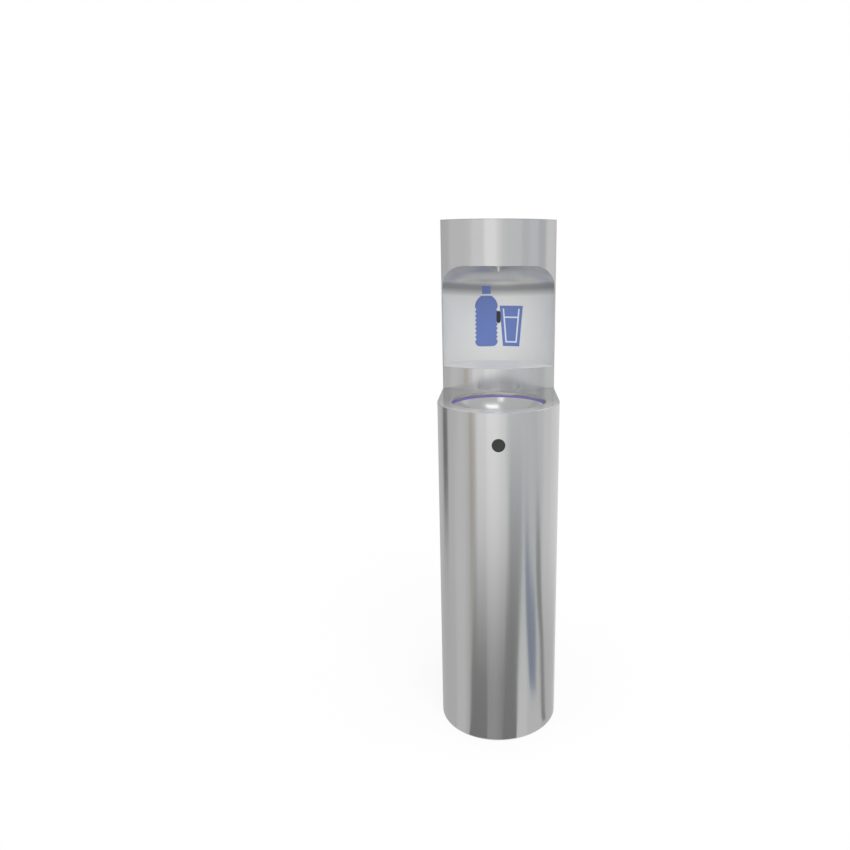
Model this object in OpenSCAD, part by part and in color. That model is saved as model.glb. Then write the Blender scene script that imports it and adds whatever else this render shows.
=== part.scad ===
// Freestanding water dispenser: a pedestal with a lit bowl, and a column with a bottle alcove over it.
// The front is towards -Y, the floor is at z = 0 and the origin is under the middle of the plan.

/* [Body] */
// Inside diameter of the rim round the bowl
bowl_d = 244; // [232:1:254]
// Deck between the bowl's rim and the body's side
deck_land = 38; // [36:1:50]
// Flat deck between the bowl's rounded rim and the column
rim_land = 8; // [4:1:24]
// How far the column's front bows out from its side edges
column_bulge = 62; // [50:1:74]
// Height of the deck that the bowl hangs in
pedestal_h = 897; // [870:1:930]
// Thickness of the body's steel sheet
sheet = 2; // [1.5:0.5:3]
// Radius of the deck's outer edge
deck_edge_r = 1.5; // [0.5:0.1:2]
// Clearance where one piece seats in or behind another
seat_gap = 0.3; // [0.2:0.1:0.5]

/* [Column] */
// Height of the bottle's ledge above the deck
ledge_rise = 65; // [50:1:100]
// Height of the alcove between its ledge and the hood's lip
alcove_h = 278; // [240:1:330]
// Height of the hood above its lip
hood_h = 124; // [105:1:160]
// Steel left beside the window, seen from the front
window_margin = 3.5; // [3:0.5:8]
// Radius of the window's upper corners
window_corner_r = 58; // [40:1:70]
// Room between the alcove's back wall and the outside of the body
channel_depth = 48; // [44:1:56]
// Radius between the alcove's back wall and its ceiling
ceiling_fillet_r = 68; // [50:1:80]
// Thickness of the alcove's liner
liner_sheet = 1.5; // [1:0.5:2]
// Ledge that runs on behind the liner
ledge_flange = 5; // [3:1:6]
// Half the spacing of the two posts under the ledge
post_x = 80; // [60:1:95]
// Width of a ledge post
post_w = 30; // [20:1:40]
// Height of the skirt that locates the top cap
cap_skirt_h = 15; // [8:1:25]

/* [Filler] */
// Distance of the filler behind the column's side edges
nozzle_setback = 20; // [5:1:40]
// Diameter of the filler's tip
nozzle_tip_d = 12; // [10:1:16]
// How far the tip hangs below the ceiling
nozzle_drop = 15; // [10:1:20]
// Diameter of the filler's flange
nozzle_flange_d = 26; // [24:1:32]
// Thickness of the filler's flange
nozzle_flange_t = 3; // [2:0.5:5]
// Diameter of the filler's threaded shank
nozzle_shank_d = 16; // [14:1:18]
// Height of the shank above the ceiling
nozzle_shank_h = 34; // [28:1:40]
// Thickness of the seal and height of the nut over it
nozzle_seal_t = 2; // [1:0.5:3]
// Height of the nut on the shank
nozzle_nut_h = 9; // [6:1:14]
// Width of the sensor's window
sensor_w = 12; // [10:1:16]
// Height of the sensor's window
sensor_h = 35.5; // [30:0.5:44]
// Height of the sensor's middle above the ledge
sensor_rise = 129; // [100:1:150]
// How far the window stands out of the wall
sensor_proud = 0.8; // [0.4:0.1:1.5]
// Width of the sensor's body behind the wall
sensor_body_w = 30; // [26:1:40]
// Depth of the sensor's body
sensor_body_d = 24; // [20:1:28]
// How far the sensor's body passes its window above and below
sensor_body_margin = 10; // [6:1:16]

/* [Bowl and light] */
// Outer radius of the rounded rim
rim_round_r = 4; // [3:0.5:6]
// Depth of the rim's collar below the deck
collar_depth = 9; // [7:1:14]
// Height of the light ring
light_h = 5; // [4:0.5:8]
// Radial width of the light ring
light_w = 8; // [6:1:10]
// Radial width of the strip of lamps behind it
strip_w = 3; // [2:0.5:4]
// Width of the bowl's flange
bowl_flange_w = 19; // [18:1:20]
// Depth of the bowl below the deck
bowl_depth = 82; // [70:1:95]
// Thickness of the bowl's sheet
bowl_sheet = 1.5; // [1:0.5:2]
// Number of clamps that hold the bowl up
clamp_count = 4; // [3:1:8]
// Diameter of a clamp's stud
stud_d = 6; // [5:1:8]
// Length of a stud below the deck
stud_h = 30; // [26:1:40]
// Width of a clamp's plate
clamp_w = 18; // [16:1:24]
// Thickness of a clamp's plate
clamp_t = 2.5; // [2:0.5:4]

/* [Drain] */
// Diameter of the sump in the bowl's floor
sump_d = 66; // [60:1:72]
// Depth of the sump below the dish
sump_depth = 4; // [3:0.5:8]
// Diameter of the drain hole
drain_d = 44; // [40:1:48]
// Thickness of the waste's flange
waste_flange_t = 2.5; // [2:0.5:4]
// Wall of the waste's tail
tail_wall = 3; // [2:0.5:4]
// Length of the waste's tail
tail_h = 66; // [55:1:80]
// Diameter of a hole in the strainer
strainer_hole_d = 5; // [3:0.5:6]
// Width of the bar that the strainer is screwed to
crossbar_w = 8; // [7:1:12]
// Depth of that bar
crossbar_h = 4; // [3:0.5:6]
// Diameter of the strainer's screw
screw_d = 4; // [3:0.5:5]
// Thickness of the strainer
strainer_t = 1.5; // [1:0.5:3]
// Thickness of the waste's gasket
gasket_t = 3; // [2:0.5:4]
// Height of the waste's nut
waste_nut_h = 10; // [8:1:14]
// Diameter of the trap's bottle
trap_d = 64; // [58:1:76]
// Wall of the trap's socket
trap_socket_wall = 5; // [4:0.5:7]
// Depth of the trap's socket
trap_socket_h = 25; // [20:1:30]
// Reach of the trap's outlet past its bottle
trap_outlet_reach = 18; // [16:1:26]
// Height of the trap's bottle
trap_h = 95; // [85:1:120]
// Height of the trap's lower cup
trap_cup_h = 44; // [36:1:60]
// Number of grips on the trap's cup
trap_grip_count = 12; // [8:1:20]
// Diameter of the waste pipe
waste_pipe_d = 40; // [36:1:44]
// Wall of the waste pipe
waste_pipe_wall = 2; // [1.5:0.5:3]
// How far the waste pipe goes into the trap's outlet
waste_depth = 14; // [10:1:15]
// Radius of the waste pipe's bend
waste_bend_r = 45; // [40:1:52]
// Distance of the waste pipe's drop in front of the rear axis
waste_setback = 88; // [84:1:98]
// Height of the waste pipe's end above the floor
waste_end_z = 15; // [10:1:40]

/* [Button] */
// Diameter of the button
button_d = 32.5; // [28:0.5:38]
// Depth of the button's middle below the deck
button_drop = 81; // [70:1:120]
// Travel of the button
button_travel = 4; // [2:0.5:5]
// How far the button's face lies behind the body's front
button_recess = 0.5; // [0.2:0.1:1.5]
// Thickness of the button's head
button_head_h = 7; // [6:0.5:10]
// Radius of the rounded edge of the button's face
button_round_r = 1.5; // [0.5:0.1:2.5]
// Depth of the dish in the button's face
button_dish = 0.8; // [0.4:0.1:1.5]
// Height of the shoulder that keeps the button in
button_shoulder = 2.3; // [1.5:0.1:3]
// Thickness of the button's shoulder
button_shoulder_t = 2; // [1.5:0.5:3]
// Diameter of the button's stem
stem_d = 9; // [7:0.5:11]
// How far the stem reaches into the switch
stem_reach = 6; // [4:0.5:8]
// Room in the switch past the stem's stroke
stem_room = 2; // [1:0.5:4]
// Free length of the return spring
spring_h = 12; // [10:0.5:16]
// Diameter of the return spring
spring_d = 17; // [15:0.5:22]
// Diameter of the spring's wire
spring_wire_d = 1.5; // [1:0.1:2]
// Wall of the button's housing
housing_wall = 4; // [3:0.5:6]
// Length of the switch behind the housing
switch_h = 22; // [18:1:30]
// Width of the switch
switch_w = 22; // [18:1:28]

/* [Service door] */
// Bottom of the door's opening
door_bottom = 140; // [120:1:170]
// Depth of the top of the door's opening below the deck
door_drop = 137; // [110:1:200]
// Half of the angle that the opening takes of the round back
door_half_angle = 46; // [40:1:50]
// Gap round the door
door_gap = 2; // [1.5:0.5:3]
// Depth of the door's stiffening ribs
door_rib_d = 12; // [8:1:16]
// Distance of a rib from the end of the door
door_rib_inset = 14; // [12:1:30]
// How far the frame stands in behind the door, as an angle
frame_in_angle = 3; // [2:0.5:4]
// How far the frame runs on behind the shell, as an angle
frame_out_angle = 10; // [8:0.5:14]
// How far the frame stands in at the top and bottom
frame_in_h = 8; // [6:1:10]
// Thickness of the frame
frame_t = 2.5; // [2:0.5:4]
// Outside diameter of the hinge's knuckles
knuckle_d = 10; // [8:0.5:12]
// Diameter of the hinge's pin
hinge_pin_d = 5; // [4:0.5:6]
// Running clearance of the pin
pin_gap = 0.05; // [0.03:0.01:0.08]
// Room between the knuckles and the body's skin
knuckle_lift = 0.5; // [0.4:0.1:1]
// Room round and between the knuckles
knuckle_gap = 0.5; // [0.4:0.1:1]
// Height of a hinge
hinge_h = 60; // [48:1:80]
// Distance of a hinge's middle from the end of the opening
hinge_inset = 90; // [60:1:150]
// Width of a hinge's leaf
leaf_w = 24; // [18:1:30]
// Thickness of a hinge's leaf
leaf_t = 2; // [1.5:0.5:3]
// Angle of the lock from the edge of the opening
lock_inset_angle = 9; // [8.5:0.5:14]
// Diameter of the lock's barrel
lock_d = 19; // [16:1:20]
// Rim of the lock's face round its barrel
lock_rim = 2.5; // [2:0.5:3]
// Thickness of the lock's face
lock_face_t = 2; // [1.5:0.5:3]
// Height of the lock's nut
lock_nut_h = 5; // [4:0.5:7]
// Length of the lock's barrel behind the door's outside
lock_h = 22; // [20:1:28]
// Diameter of the turning plug
plug_d = 12; // [10:1:13]
// Reach of the lock's cam
cam_reach = 40; // [34:1:44]
// Width of the cam
cam_w = 14; // [10:1:16]
// Thickness of the cam
cam_t = 3; // [2:0.5:4]
// Distance from the lock's axis to the strike
strike_x = 25; // [20:1:28]
// Room between the cam and the strike
strike_gap = 1; // [0.5:0.1:2]
// Room between the cam's end and the strike's web
strike_room = 4; // [2:0.5:5]
// Thickness of the strike
strike_t = 2; // [1.5:0.5:3]
// Height of the strike that the cam turns behind
strike_h = 30; // [24:1:40]

/* [Deck brackets] */
// Angle between the brackets under the deck
bracket_spread = 62; // [56:1:66]
// Angle that one bracket takes
bracket_angle = 24; // [16:1:30]
// Length of a bracket's two legs
bracket_leg = 24; // [18:1:34]

/* [Base] */
// Thickness of the base plate
base_t = 6; // [5:1:10]
// Height of the base plate's upright flange
base_flange_h = 34; // [20:1:50]
// Thickness of that flange
base_flange_t = 3; // [2:0.5:4]
// Diameter of the anchor holes
anchor_d = 13; // [11:0.5:15]
// Spacing of the anchor holes across
anchor_x = 180; // [160:1:200]
// Spacing of the anchor holes front to back
anchor_y = 260; // [240:1:280]
// Width of the slot for the building's pipes
pipe_slot_w = 90; // [80:1:110]

/* [Mounting panel] */
// Distance of the panel in front of the rear axis
panel_setback = 34; // [28:1:40]
// Width of the panel
panel_w = 230; // [210:2:250]
// Depth of the panel's top below the deck
panel_drop = 157; // [140:1:240]
// Height of the gap under the panel
panel_clear = 54; // [44:1:60]
// Thickness of the panel
panel_t = 2; // [1.5:0.5:3]
// Depth of the panel's side flanges
panel_flange_d = 34; // [24:1:44]

/* [Water line] */
// Distance of the water line behind the panel
line_setback = 56; // [54:1:62]
// Outside diameter of the water tubes
tube_d = 8; // [6:0.5:10]
// Wall of the water tubes
tube_wall = 1.25; // [1:0.25:2]
// Radius of the tubes' bends
tube_bend_r = 30; // [26:1:34]
// Diameter of the threaded ports
port_d = 16; // [14:1:18]
// Length of a port outside its body
port_h = 5; // [4:1:8]
// Depth of the filter's and the solenoid valve's ports below the deck
port_drop = 237; // [225:1:300]
// Distance of the filter's axis left of the middle
filter_x = 50; // [48:1:54]
// Diameter of the filter's head
filter_head_d = 90; // [84:1:92]
// Height of the filter's head
filter_head_h = 40; // [34:1:50]
// Diameter of the filter cartridge
cartridge_d = 84; // [74:1:86]
// Height of the filter cartridge
cartridge_h = 250; // [220:1:280]
// Radius of the cartridge's lower edge
cartridge_round_r = 12; // [8:1:16]
// Thickness of the filter's bracket
bracket_t = 3; // [2:0.5:4]
// Width of the filter's bracket
bracket_w = 70; // [60:1:80]
// Height of the bracket's upright leg
bracket_leg_h = 50; // [40:1:54]
// Straight length between a bend and the port that it leads to
port_lead = 16; // [4:1:24]
// Distance of the riser right of the middle
riser_x = 70; // [68:1:76]
// Depth of the riser's crossing below the deck
riser_cross_drop = 137; // [100:1:150]
// Size of the solenoid valve's block
solenoid_block = 34; // [30:1:38]
// Diameter of the solenoid's coil
coil_d = 32; // [28:1:34]
// Length of the solenoid's coil
coil_h = 34; // [28:1:40]

/* [Stop valve] */
// Diameter of the valve's inlet stub
inlet_d = 20.8; // [18:0.1:22]
// Length of the inlet stub
inlet_h = 20; // [16:1:24]
// Height of the inlet stub's end above the floor
inlet_z = 100; // [80:1:110]
// Length of the valve's body with its hexagons
valve_h = 70; // [62:1:80]
// Diameter of the valve's body
valve_d = 30; // [28:1:32]
// Diameter over the ball's housing
ball_d = 38; // [36:1:40]
// Height of a hexagon
valve_hex_h = 11; // [8:1:12]
// Diameter of the valve's stem boss
boss_d = 16; // [14:1:18]
// Reach of the stem boss behind the valve's axis
boss_reach = 27; // [24:1:30]
// Diameter of the valve's stem
valve_stem_d = 8; // [6:0.5:9]
// Depth of the stem's bore in its boss
stem_bore_h = 17; // [14:1:20]
// Margin of the clip round the valve's body
clip_margin = 5; // [4:0.5:8]
// Height of the clip
clip_h = 10; // [8:1:14]
// Reach of the lever
lever_reach = 70; // [50:1:80]
// Width of the lever
lever_w = 14; // [12:1:18]
// Thickness of the lever
lever_t = 3; // [2:0.5:4]

/* [Control box] */
// Width of the control box
box_w = 96; // [80:1:100]
// Depth of the control box
box_d = 52; // [44:1:60]
// Height of the control box
box_h = 130; // [110:1:150]
// Distance of the box's middle right of the middle
box_x = 74; // [70:1:76]
// Height of the box's bottom
box_z = 310; // [300:1:330]
// Radius of the box's upright edges
box_round_r = 8; // [5:1:12]
// Thickness of the box's lid
lid_t = 4; // [3:0.5:6]
// Diameter of the cable gland
gland_d = 22; // [18:1:25]
// Diameter of the sensor's cable
cable_d = 5; // [4:0.5:6]
// Radius of the cable's bends
cable_bend_r = 20; // [16:1:24]
// Depth of the cable's crossing below the deck
cable_cross_drop = 185; // [170:1:200]

/* [Hidden] */
$fn = 96;
bowl_r = bowl_d / 2;
body_r = bowl_r + deck_land;
axis_gap = bowl_r + rim_round_r + rim_land + column_bulge;
front_axis_y = -axis_gap / 2;
rear_axis_y = axis_gap / 2;
front_face_y = front_axis_y - body_r;
inner_r = body_r - sheet;
seat_r = inner_r - seat_gap;

// The column's front is one arc through its two side edges, and so is the alcove's back wall.
front_arc_r = (body_r ^ 2 + column_bulge ^ 2) / (2 * column_bulge);
front_arc_y = rear_axis_y - column_bulge + front_arc_r;
liner_depth = body_r - channel_depth;
liner_r = (body_r ^ 2 + liner_depth ^ 2) / (2 * liner_depth);
liner_axis_y = rear_axis_y + liner_depth - liner_r;
liner_back_y = rear_axis_y + liner_depth;
window_half_w = body_r - window_margin;

ledge_h = pedestal_h + ledge_rise;
lip_h = ledge_h + alcove_h;
overall_h = lip_h + hood_h;
deck_under = pedestal_h - sheet;
ledge_under = ledge_h - sheet;
column_top = overall_h - sheet;
ceiling_top = lip_h + liner_sheet;
nozzle_y = rear_axis_y + nozzle_setback;
sensor_z = ledge_h + sensor_rise;
nozzle_top = ceiling_top + nozzle_shank_h;
sensor_seat_y = liner_back_y + liner_sheet + seat_gap;

light_top = pedestal_h - collar_depth;
light_under = light_top - light_h;
flange_under = light_under - bowl_sheet;
bowl_bottom = pedestal_h - bowl_depth;
dish_rise = light_under - bowl_bottom;
dish_r = (bowl_r ^ 2 + dish_rise ^ 2) / (2 * dish_rise);
dish_z = bowl_bottom + dish_r;
stud_ring_r = bowl_r + bowl_flange_w + stud_d / 2 + 2 * seat_gap;
clamp_under = flange_under - clamp_t;

sump_r = sump_d / 2;
sump_floor = bowl_bottom - sump_depth;
sump_under = sump_floor - bowl_sheet;
sump_lip = dish_z - sqrt(dish_r ^ 2 - (sump_r + bowl_sheet) ^ 2);
drain_r = drain_d / 2;
tail_r = drain_r - seat_gap;
tail_bore_r = tail_r - tail_wall;
waste_top = sump_floor + waste_flange_t;
tail_end = sump_floor - tail_h;
trap_r = trap_d / 2;
trap_socket_r = tail_r + trap_socket_wall;
trap_end = tail_end - trap_h;
trap_outlet_z = tail_end - trap_h / 2;
trap_outlet_y = front_axis_y + trap_r + trap_outlet_reach;
waste_pipe_r = waste_pipe_d / 2;
waste_y = rear_axis_y - waste_setback;

button_r = button_d / 2;
button_z = pedestal_h - button_drop;
button_face_y = front_face_y + button_recess;
shoulder_y = button_face_y + button_head_h;
shoulder_r = button_r + button_shoulder;
spring_y = shoulder_y + button_shoulder_t + seat_gap;
housing_back_y = spring_y + spring_h + seat_gap;
housing_end_y = housing_back_y + housing_wall;
housing_bore_r = button_r + seat_gap;
chamber_r = shoulder_r + seat_gap;
housing_r = chamber_r + housing_wall;
stem_bore_r = stem_d / 2 + seat_gap;
stem_end_y = housing_end_y + stem_reach;
stem_bore_end_y = stem_end_y + button_travel + stem_room;

door_top = pedestal_h - door_drop;
door_gap_angle = door_gap / body_r * 180 / PI;
door_angle = door_half_angle - door_gap_angle;
door_low = door_bottom + door_gap;
door_high = door_top - door_gap;
knuckle_r = knuckle_d / 2;
hinge_axis_r = body_r + knuckle_r + knuckle_lift;
hinge_angle = door_half_angle - door_gap_angle / 2;
near_angle = (knuckle_r + knuckle_gap) / body_r * 180 / PI;
leaf_angle = leaf_w / body_r * 180 / PI;
door_knuckle_h = hinge_h / 3;
lock_angle = door_half_angle - lock_inset_angle;
lock_z = (door_bottom + door_top) / 2;
lock_r = lock_d / 2;
lock_face_r = lock_r + lock_rim;
cam_outer_y = body_r - lock_h - seat_gap;
strike_y = cam_outer_y + strike_gap;
strike_web_x = cam_reach + strike_room;
frame_inner_r = seat_r - frame_t;

panel_y = rear_axis_y - panel_setback;
panel_h = pedestal_h - panel_drop - base_t;
line_y = panel_y + line_setback;
tube_r = tube_d / 2;
port_r = port_d / 2;
port_z = pedestal_h - port_drop;
head_low = port_z - filter_head_h / 2;
head_high = port_z + filter_head_h / 2;
filter_left = -filter_x - filter_head_d / 2 - port_h;
filter_right = -filter_x + filter_head_d / 2 + port_h;
supply_x = tube_bend_r + port_lead / 4 - filter_left;
riser_cross_z = pedestal_h - riser_cross_drop;
riser_top_z = nozzle_top + tube_bend_r + port_lead;
cable_cross_z = pedestal_h - cable_cross_drop;
solenoid_left = riser_x - solenoid_block / 2 - port_h;
solenoid_top = port_z + solenoid_block / 2 + port_h;
liner_outer_r = liner_r + liner_sheet;
riser_y = (rear_axis_y + sqrt(inner_r ^ 2 - riser_x ^ 2)
    + liner_axis_y + sqrt(liner_outer_r ^ 2 - riser_x ^ 2)) / 2;
cable_y = sensor_seat_y + sensor_body_d / 2;
cable_r = cable_d / 2;

valve_low = inlet_z + inlet_h;
valve_high = valve_low + valve_h;
valve_mid = valve_low + valve_h / 2;
valve_top = valve_high + port_h;
supply_turn_z = valve_top + tube_bend_r + port_lead;
clip_w = valve_d + 2 * clip_margin;
box_mid_y = panel_y + box_d / 2;
cable_x = box_x + box_w / 4;

// Routes of the tubes and the cable, with square corners that are rounded when they are drawn.
supply_route = [
    [0, line_y, valve_top],
    [0, line_y, supply_turn_z],
    [-supply_x, line_y, supply_turn_z],
    [-supply_x, line_y, port_z],
    [filter_left, line_y, port_z]
];
link_route = [
    [filter_right, line_y, port_z],
    [solenoid_left, line_y, port_z]
];
riser_route = [
    [riser_x, line_y, solenoid_top],
    [riser_x, line_y, riser_cross_z],
    [riser_x, riser_y, riser_cross_z],
    [riser_x, riser_y, riser_top_z],
    [riser_x, nozzle_y, riser_top_z],
    [0, nozzle_y, riser_top_z],
    [0, nozzle_y, nozzle_top]
];
cable_route = [
    [0, cable_y, sensor_z - sensor_h / 2 - sensor_body_margin],
    [0, cable_y, cable_cross_z],
    [0, box_mid_y, cable_cross_z],
    [cable_x, box_mid_y, cable_cross_z],
    [cable_x, box_mid_y, box_z + box_h]
];
waste_route = [
    [0, trap_outlet_y - waste_depth, trap_outlet_z],
    [0, waste_y, trap_outlet_z],
    [0, waste_y, waste_end_z]
];

steel = [0.78, 0.79, 0.79];
dull_steel = [0.62, 0.63, 0.64];
dark = [0.22, 0.23, 0.23];
white_plastic = [0.9, 0.9, 0.88];
grey_plastic = [0.5, 0.52, 0.54];
brass = [0.75, 0.6, 0.3];
violet = [0.47, 0.39, 0.75];
rubber = [0.12, 0.12, 0.12];
blue_tube = [0.25, 0.45, 0.75];

function unit(v) = v / norm(v);

// Half plane behind or in front of the column's side edges
module behind_edges() {
    translate([-2 * body_r, rear_axis_y])
        square([4 * body_r, 2 * body_r]);
}

module before_edges() {
    translate([-2 * body_r, rear_axis_y - 2 * axis_gap])
        square([4 * body_r, 2 * axis_gap]);
}

// Plan of the pedestal in front of the column's side edges, drawn in by a distance
module front_plan(inset) {
    translate([0, front_axis_y])
        circle(r = body_r - inset);
    translate([inset - body_r, front_axis_y])
        square([2 * (body_r - inset), axis_gap]);
}

// Round back of the body
module rear_plan(inset) {
    intersection() {
        translate([0, rear_axis_y])
            circle(r = body_r - inset);
        behind_edges();
    }
}

// Bowed front of the column
module bulge_plan(inset) {
    intersection() {
        translate([0, front_arc_y])
            circle(r = front_arc_r - inset);
        before_edges();
    }
}

module column_plan(inset) {
    bulge_plan(inset);
    rear_plan(inset);
}

module pedestal_plan(inset) {
    front_plan(inset);
    translate([0, rear_axis_y])
        circle(r = body_r - inset);
}

// Part of a ring round the rear axis, between two angles counted from the middle of the back
module rear_sector(from_angle, to_angle, r_in, r_out, z, h) {
    translate([0, rear_axis_y, z])
        rotate([0, 0, 90 - to_angle])
            rotate_extrude(angle = to_angle - from_angle)
                translate([r_in, 0])
                    square([r_out - r_in, h]);
}

// Local frame on the round back, with +Y pointing straight out of the body
module at_rear(angle, z) {
    translate([0, rear_axis_y, z])
        rotate([0, 0, -angle])
            children();
}

// Turned shapes that lie along +Y from a given place
module along_y(x, y, z) {
    translate([x, y, z])
        rotate([-90, 0, 0])
            children();
}

module ring(r_in, r_out, h) {
    difference() {
        cylinder(r = r_out, h = h);
        translate([0, 0, -1])
            cylinder(r = r_in, h = h + 2);
    }
}

// Ring with a square section round the bowl's axis
module bowl_ring(r_in, r_out, z, h) {
    translate([0, front_axis_y, z])
        ring(r_in, r_out, h);
}

module around_bowl() {
    for (i = [0 : clamp_count - 1])
        translate([0, front_axis_y, 0])
            rotate([0, 0, 360 * (i + 0.5) / clamp_count])
                translate([stud_ring_r, 0, 0])
                    children();
}

// Outline with round corners, centred on the origin
module rounded_outline(w, h, r) {
    square([w - 2 * r, h], center = true);
    square([w, h - 2 * r], center = true);
    for (x = [-1, 1], y = [-1, 1])
        translate([x * (w / 2 - r), y * (h / 2 - r)])
            circle(r = r);
}

// Upright pill shape in the plane of the alcove's back wall
module pill(w, h) {
    square([w, h - w], center = true);
    for (y = [-1, 1])
        translate([0, y * (h - w) / 2])
            circle(r = w / 2);
}

// Straight stretch of a round rod between two points
module rod(a, b, r) {
    d = unit(b - a);
    translate(a)
        rotate([0, acos(d[2]), atan2(d[1], d[0])])
            cylinder(r = r, h = norm(b - a));
}

// Quarter bend at a corner, from direction u into direction v
module bend(corner, u, v, r, bend_r) {
    w = cross(-v, u);
    c = corner + (v - u) * bend_r;
    multmatrix([
        [-v[0], u[0], w[0], c[0]],
        [-v[1], u[1], w[1], c[1]],
        [-v[2], u[2], w[2], c[2]],
        [0, 0, 0, 1]
    ])
        rotate_extrude(angle = 90)
            translate([bend_r, 0])
                circle(r = r);
}

// Round rod along a route of square corners
module bent_rod(route, r, bend_r) {
    last = len(route) - 1;
    for (i = [0 : last - 1]) {
        u = unit(route[i + 1] - route[i]);
        start = i == 0 ? route[i] : route[i] + u * bend_r;
        end = i == last - 1 ? route[last] : route[i + 1] - u * bend_r;
        rod(start, end, r);
        if (i < last - 1)
            bend(route[i + 1], u, unit(route[i + 2] - route[i + 1]), r, bend_r);
    }
}

module bent_tube(route, r, wall, bend_r) {
    difference() {
        bent_rod(route, r, bend_r);
        bent_rod(route, r - wall, bend_r);
    }
}

// Half section of a turned body whose lower edge is rounded
module round_foot_section(r, h, round_r) {
    square([r - round_r, h]);
    translate([0, round_r])
        square([r, h - round_r]);
    intersection() {
        translate([r - round_r, round_r])
            circle(r = round_r);
        square([r, h]);
    }
}

// Base and shells

module base_plate() {
    color(dull_steel) difference() {
        union() {
            linear_extrude(base_t)
                pedestal_plan(sheet + seat_gap);
            linear_extrude(base_flange_h)
                difference() {
                    pedestal_plan(sheet + seat_gap);
                    pedestal_plan(sheet + seat_gap + base_flange_t);
                }
        }
        for (x = [-1, 1], y = [-1, 1])
            translate([x * anchor_x / 2, y * anchor_y / 2, -1])
                cylinder(d = anchor_d, h = base_t + 2);
        translate([0, 0, -1])
            linear_extrude(base_t + 2) {
                for (y = [waste_y, line_y])
                    translate([0, y])
                        circle(d = pipe_slot_w);
                translate([-pipe_slot_w / 2, waste_y])
                    square([pipe_slot_w, line_y - waste_y]);
            }
    }
}

module front_shell() {
    color(steel) difference() {
        linear_extrude(deck_under)
            difference() {
                front_plan(0);
                front_plan(sheet);
                translate([-inner_r, rear_axis_y - sheet])
                    square([2 * inner_r, 2 * sheet]);
            }
        along_y(0, front_face_y - 1, button_z)
            cylinder(r = housing_bore_r, h = 4 * sheet + 2);
    }
}

module rear_shell() {
    color(steel) difference() {
        rear_sector(-90, 90, inner_r, body_r, 0, column_top);
        rear_sector(-door_half_angle, door_half_angle, inner_r - sheet, body_r + sheet,
            door_bottom, door_top - door_bottom);
    }
}

// Half section of the deck's plate, hung from its top, with the upper edge rounded over
module deck_section() {
    mirror([0, 1])
        round_foot_section(body_r, sheet, min(deck_edge_r, 0.9 * sheet));
}

// Deck's plate in front of the column's side edges
module front_deck_plate() {
    translate([0, front_axis_y, pedestal_h])
        rotate_extrude()
            deck_section();
    translate([0, rear_axis_y, pedestal_h])
        rotate([90, 0, 0])
            linear_extrude(axis_gap) {
                deck_section();
                mirror([1, 0])
                    deck_section();
            }
}

// Deck plate whose rim rolls over into a short collar round the bowl
module basin_deck() {
    rim_r = bowl_r + rim_round_r;
    overlap = 2;
    color(steel) {
        difference() {
            union() {
                front_deck_plate();
                translate([0, 0, deck_under])
                    linear_extrude(sheet)
                        rear_plan(sheet + seat_gap);
            }
            translate([0, front_axis_y, deck_under - 1])
                cylinder(r = rim_r + overlap, h = sheet + 2);
            translate([riser_x, riser_y, deck_under - 1])
                cylinder(r = tube_r + seat_gap, h = sheet + 2);
            translate([0, cable_y, deck_under - 1])
                cylinder(r = cable_r + seat_gap, h = sheet + 2);
        }
        translate([0, front_axis_y, 0])
            rotate_extrude() {
                translate([rim_r, deck_under])
                    square([2 * overlap, sheet]);
                translate([bowl_r, light_top])
                    square([sheet, collar_depth - rim_round_r]);
                intersection() {
                    translate([rim_r, pedestal_h - rim_round_r])
                        difference() {
                            circle(r = rim_round_r);
                            circle(r = rim_round_r - sheet);
                        }
                    translate([bowl_r, pedestal_h - rim_round_r])
                        square([rim_round_r, rim_round_r]);
                }
            }
    }
}

// Angle brackets on the round back, under the rear of the deck
module deck_brackets() {
    half = bracket_angle / 2;
    color(dull_steel)
        for (middle = [-bracket_spread, 0, bracket_spread]) {
            rear_sector(middle - half, middle + half, seat_r - sheet, seat_r,
                deck_under - bracket_leg, bracket_leg);
            rear_sector(middle - half, middle + half, seat_r - bracket_leg, seat_r,
                deck_under - sheet, sheet);
        }
}

// Bowl, light and clamps

// Spun dish with a flange at its rim and a sump for the drain
module bowl() {
    color(steel)
        translate([0, front_axis_y, 0])
            rotate_extrude()
                difference() {
                    union() {
                        intersection() {
                            translate([0, dish_z])
                                circle(r = dish_r + bowl_sheet);
                            translate([0, sump_under])
                                square([bowl_r + bowl_flange_w, light_under - sump_under]);
                        }
                        translate([0, sump_under])
                            square([sump_r + bowl_sheet, sump_lip - sump_under]);
                        translate([bowl_r - bowl_sheet, flange_under])
                            square([bowl_flange_w + bowl_sheet, bowl_sheet]);
                    }
                    translate([0, dish_z])
                        circle(r = dish_r);
                    translate([0, sump_floor])
                        square([sump_r, dish_r]);
                    translate([0, sump_under - 1])
                        square([drain_r, dish_r]);
                }
}

module light_ring() {
    color(violet)
        bowl_ring(bowl_r, bowl_r + light_w, light_under, light_h);
}

module led_strip() {
    color(white_plastic)
        bowl_ring(bowl_r + light_w + seat_gap, bowl_r + light_w + seat_gap + strip_w, light_under, light_h);
}

module clamp_studs() {
    color(dull_steel)
        around_bowl()
            translate([0, 0, deck_under - stud_h])
                cylinder(d = stud_d, h = stud_h);
}

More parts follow.
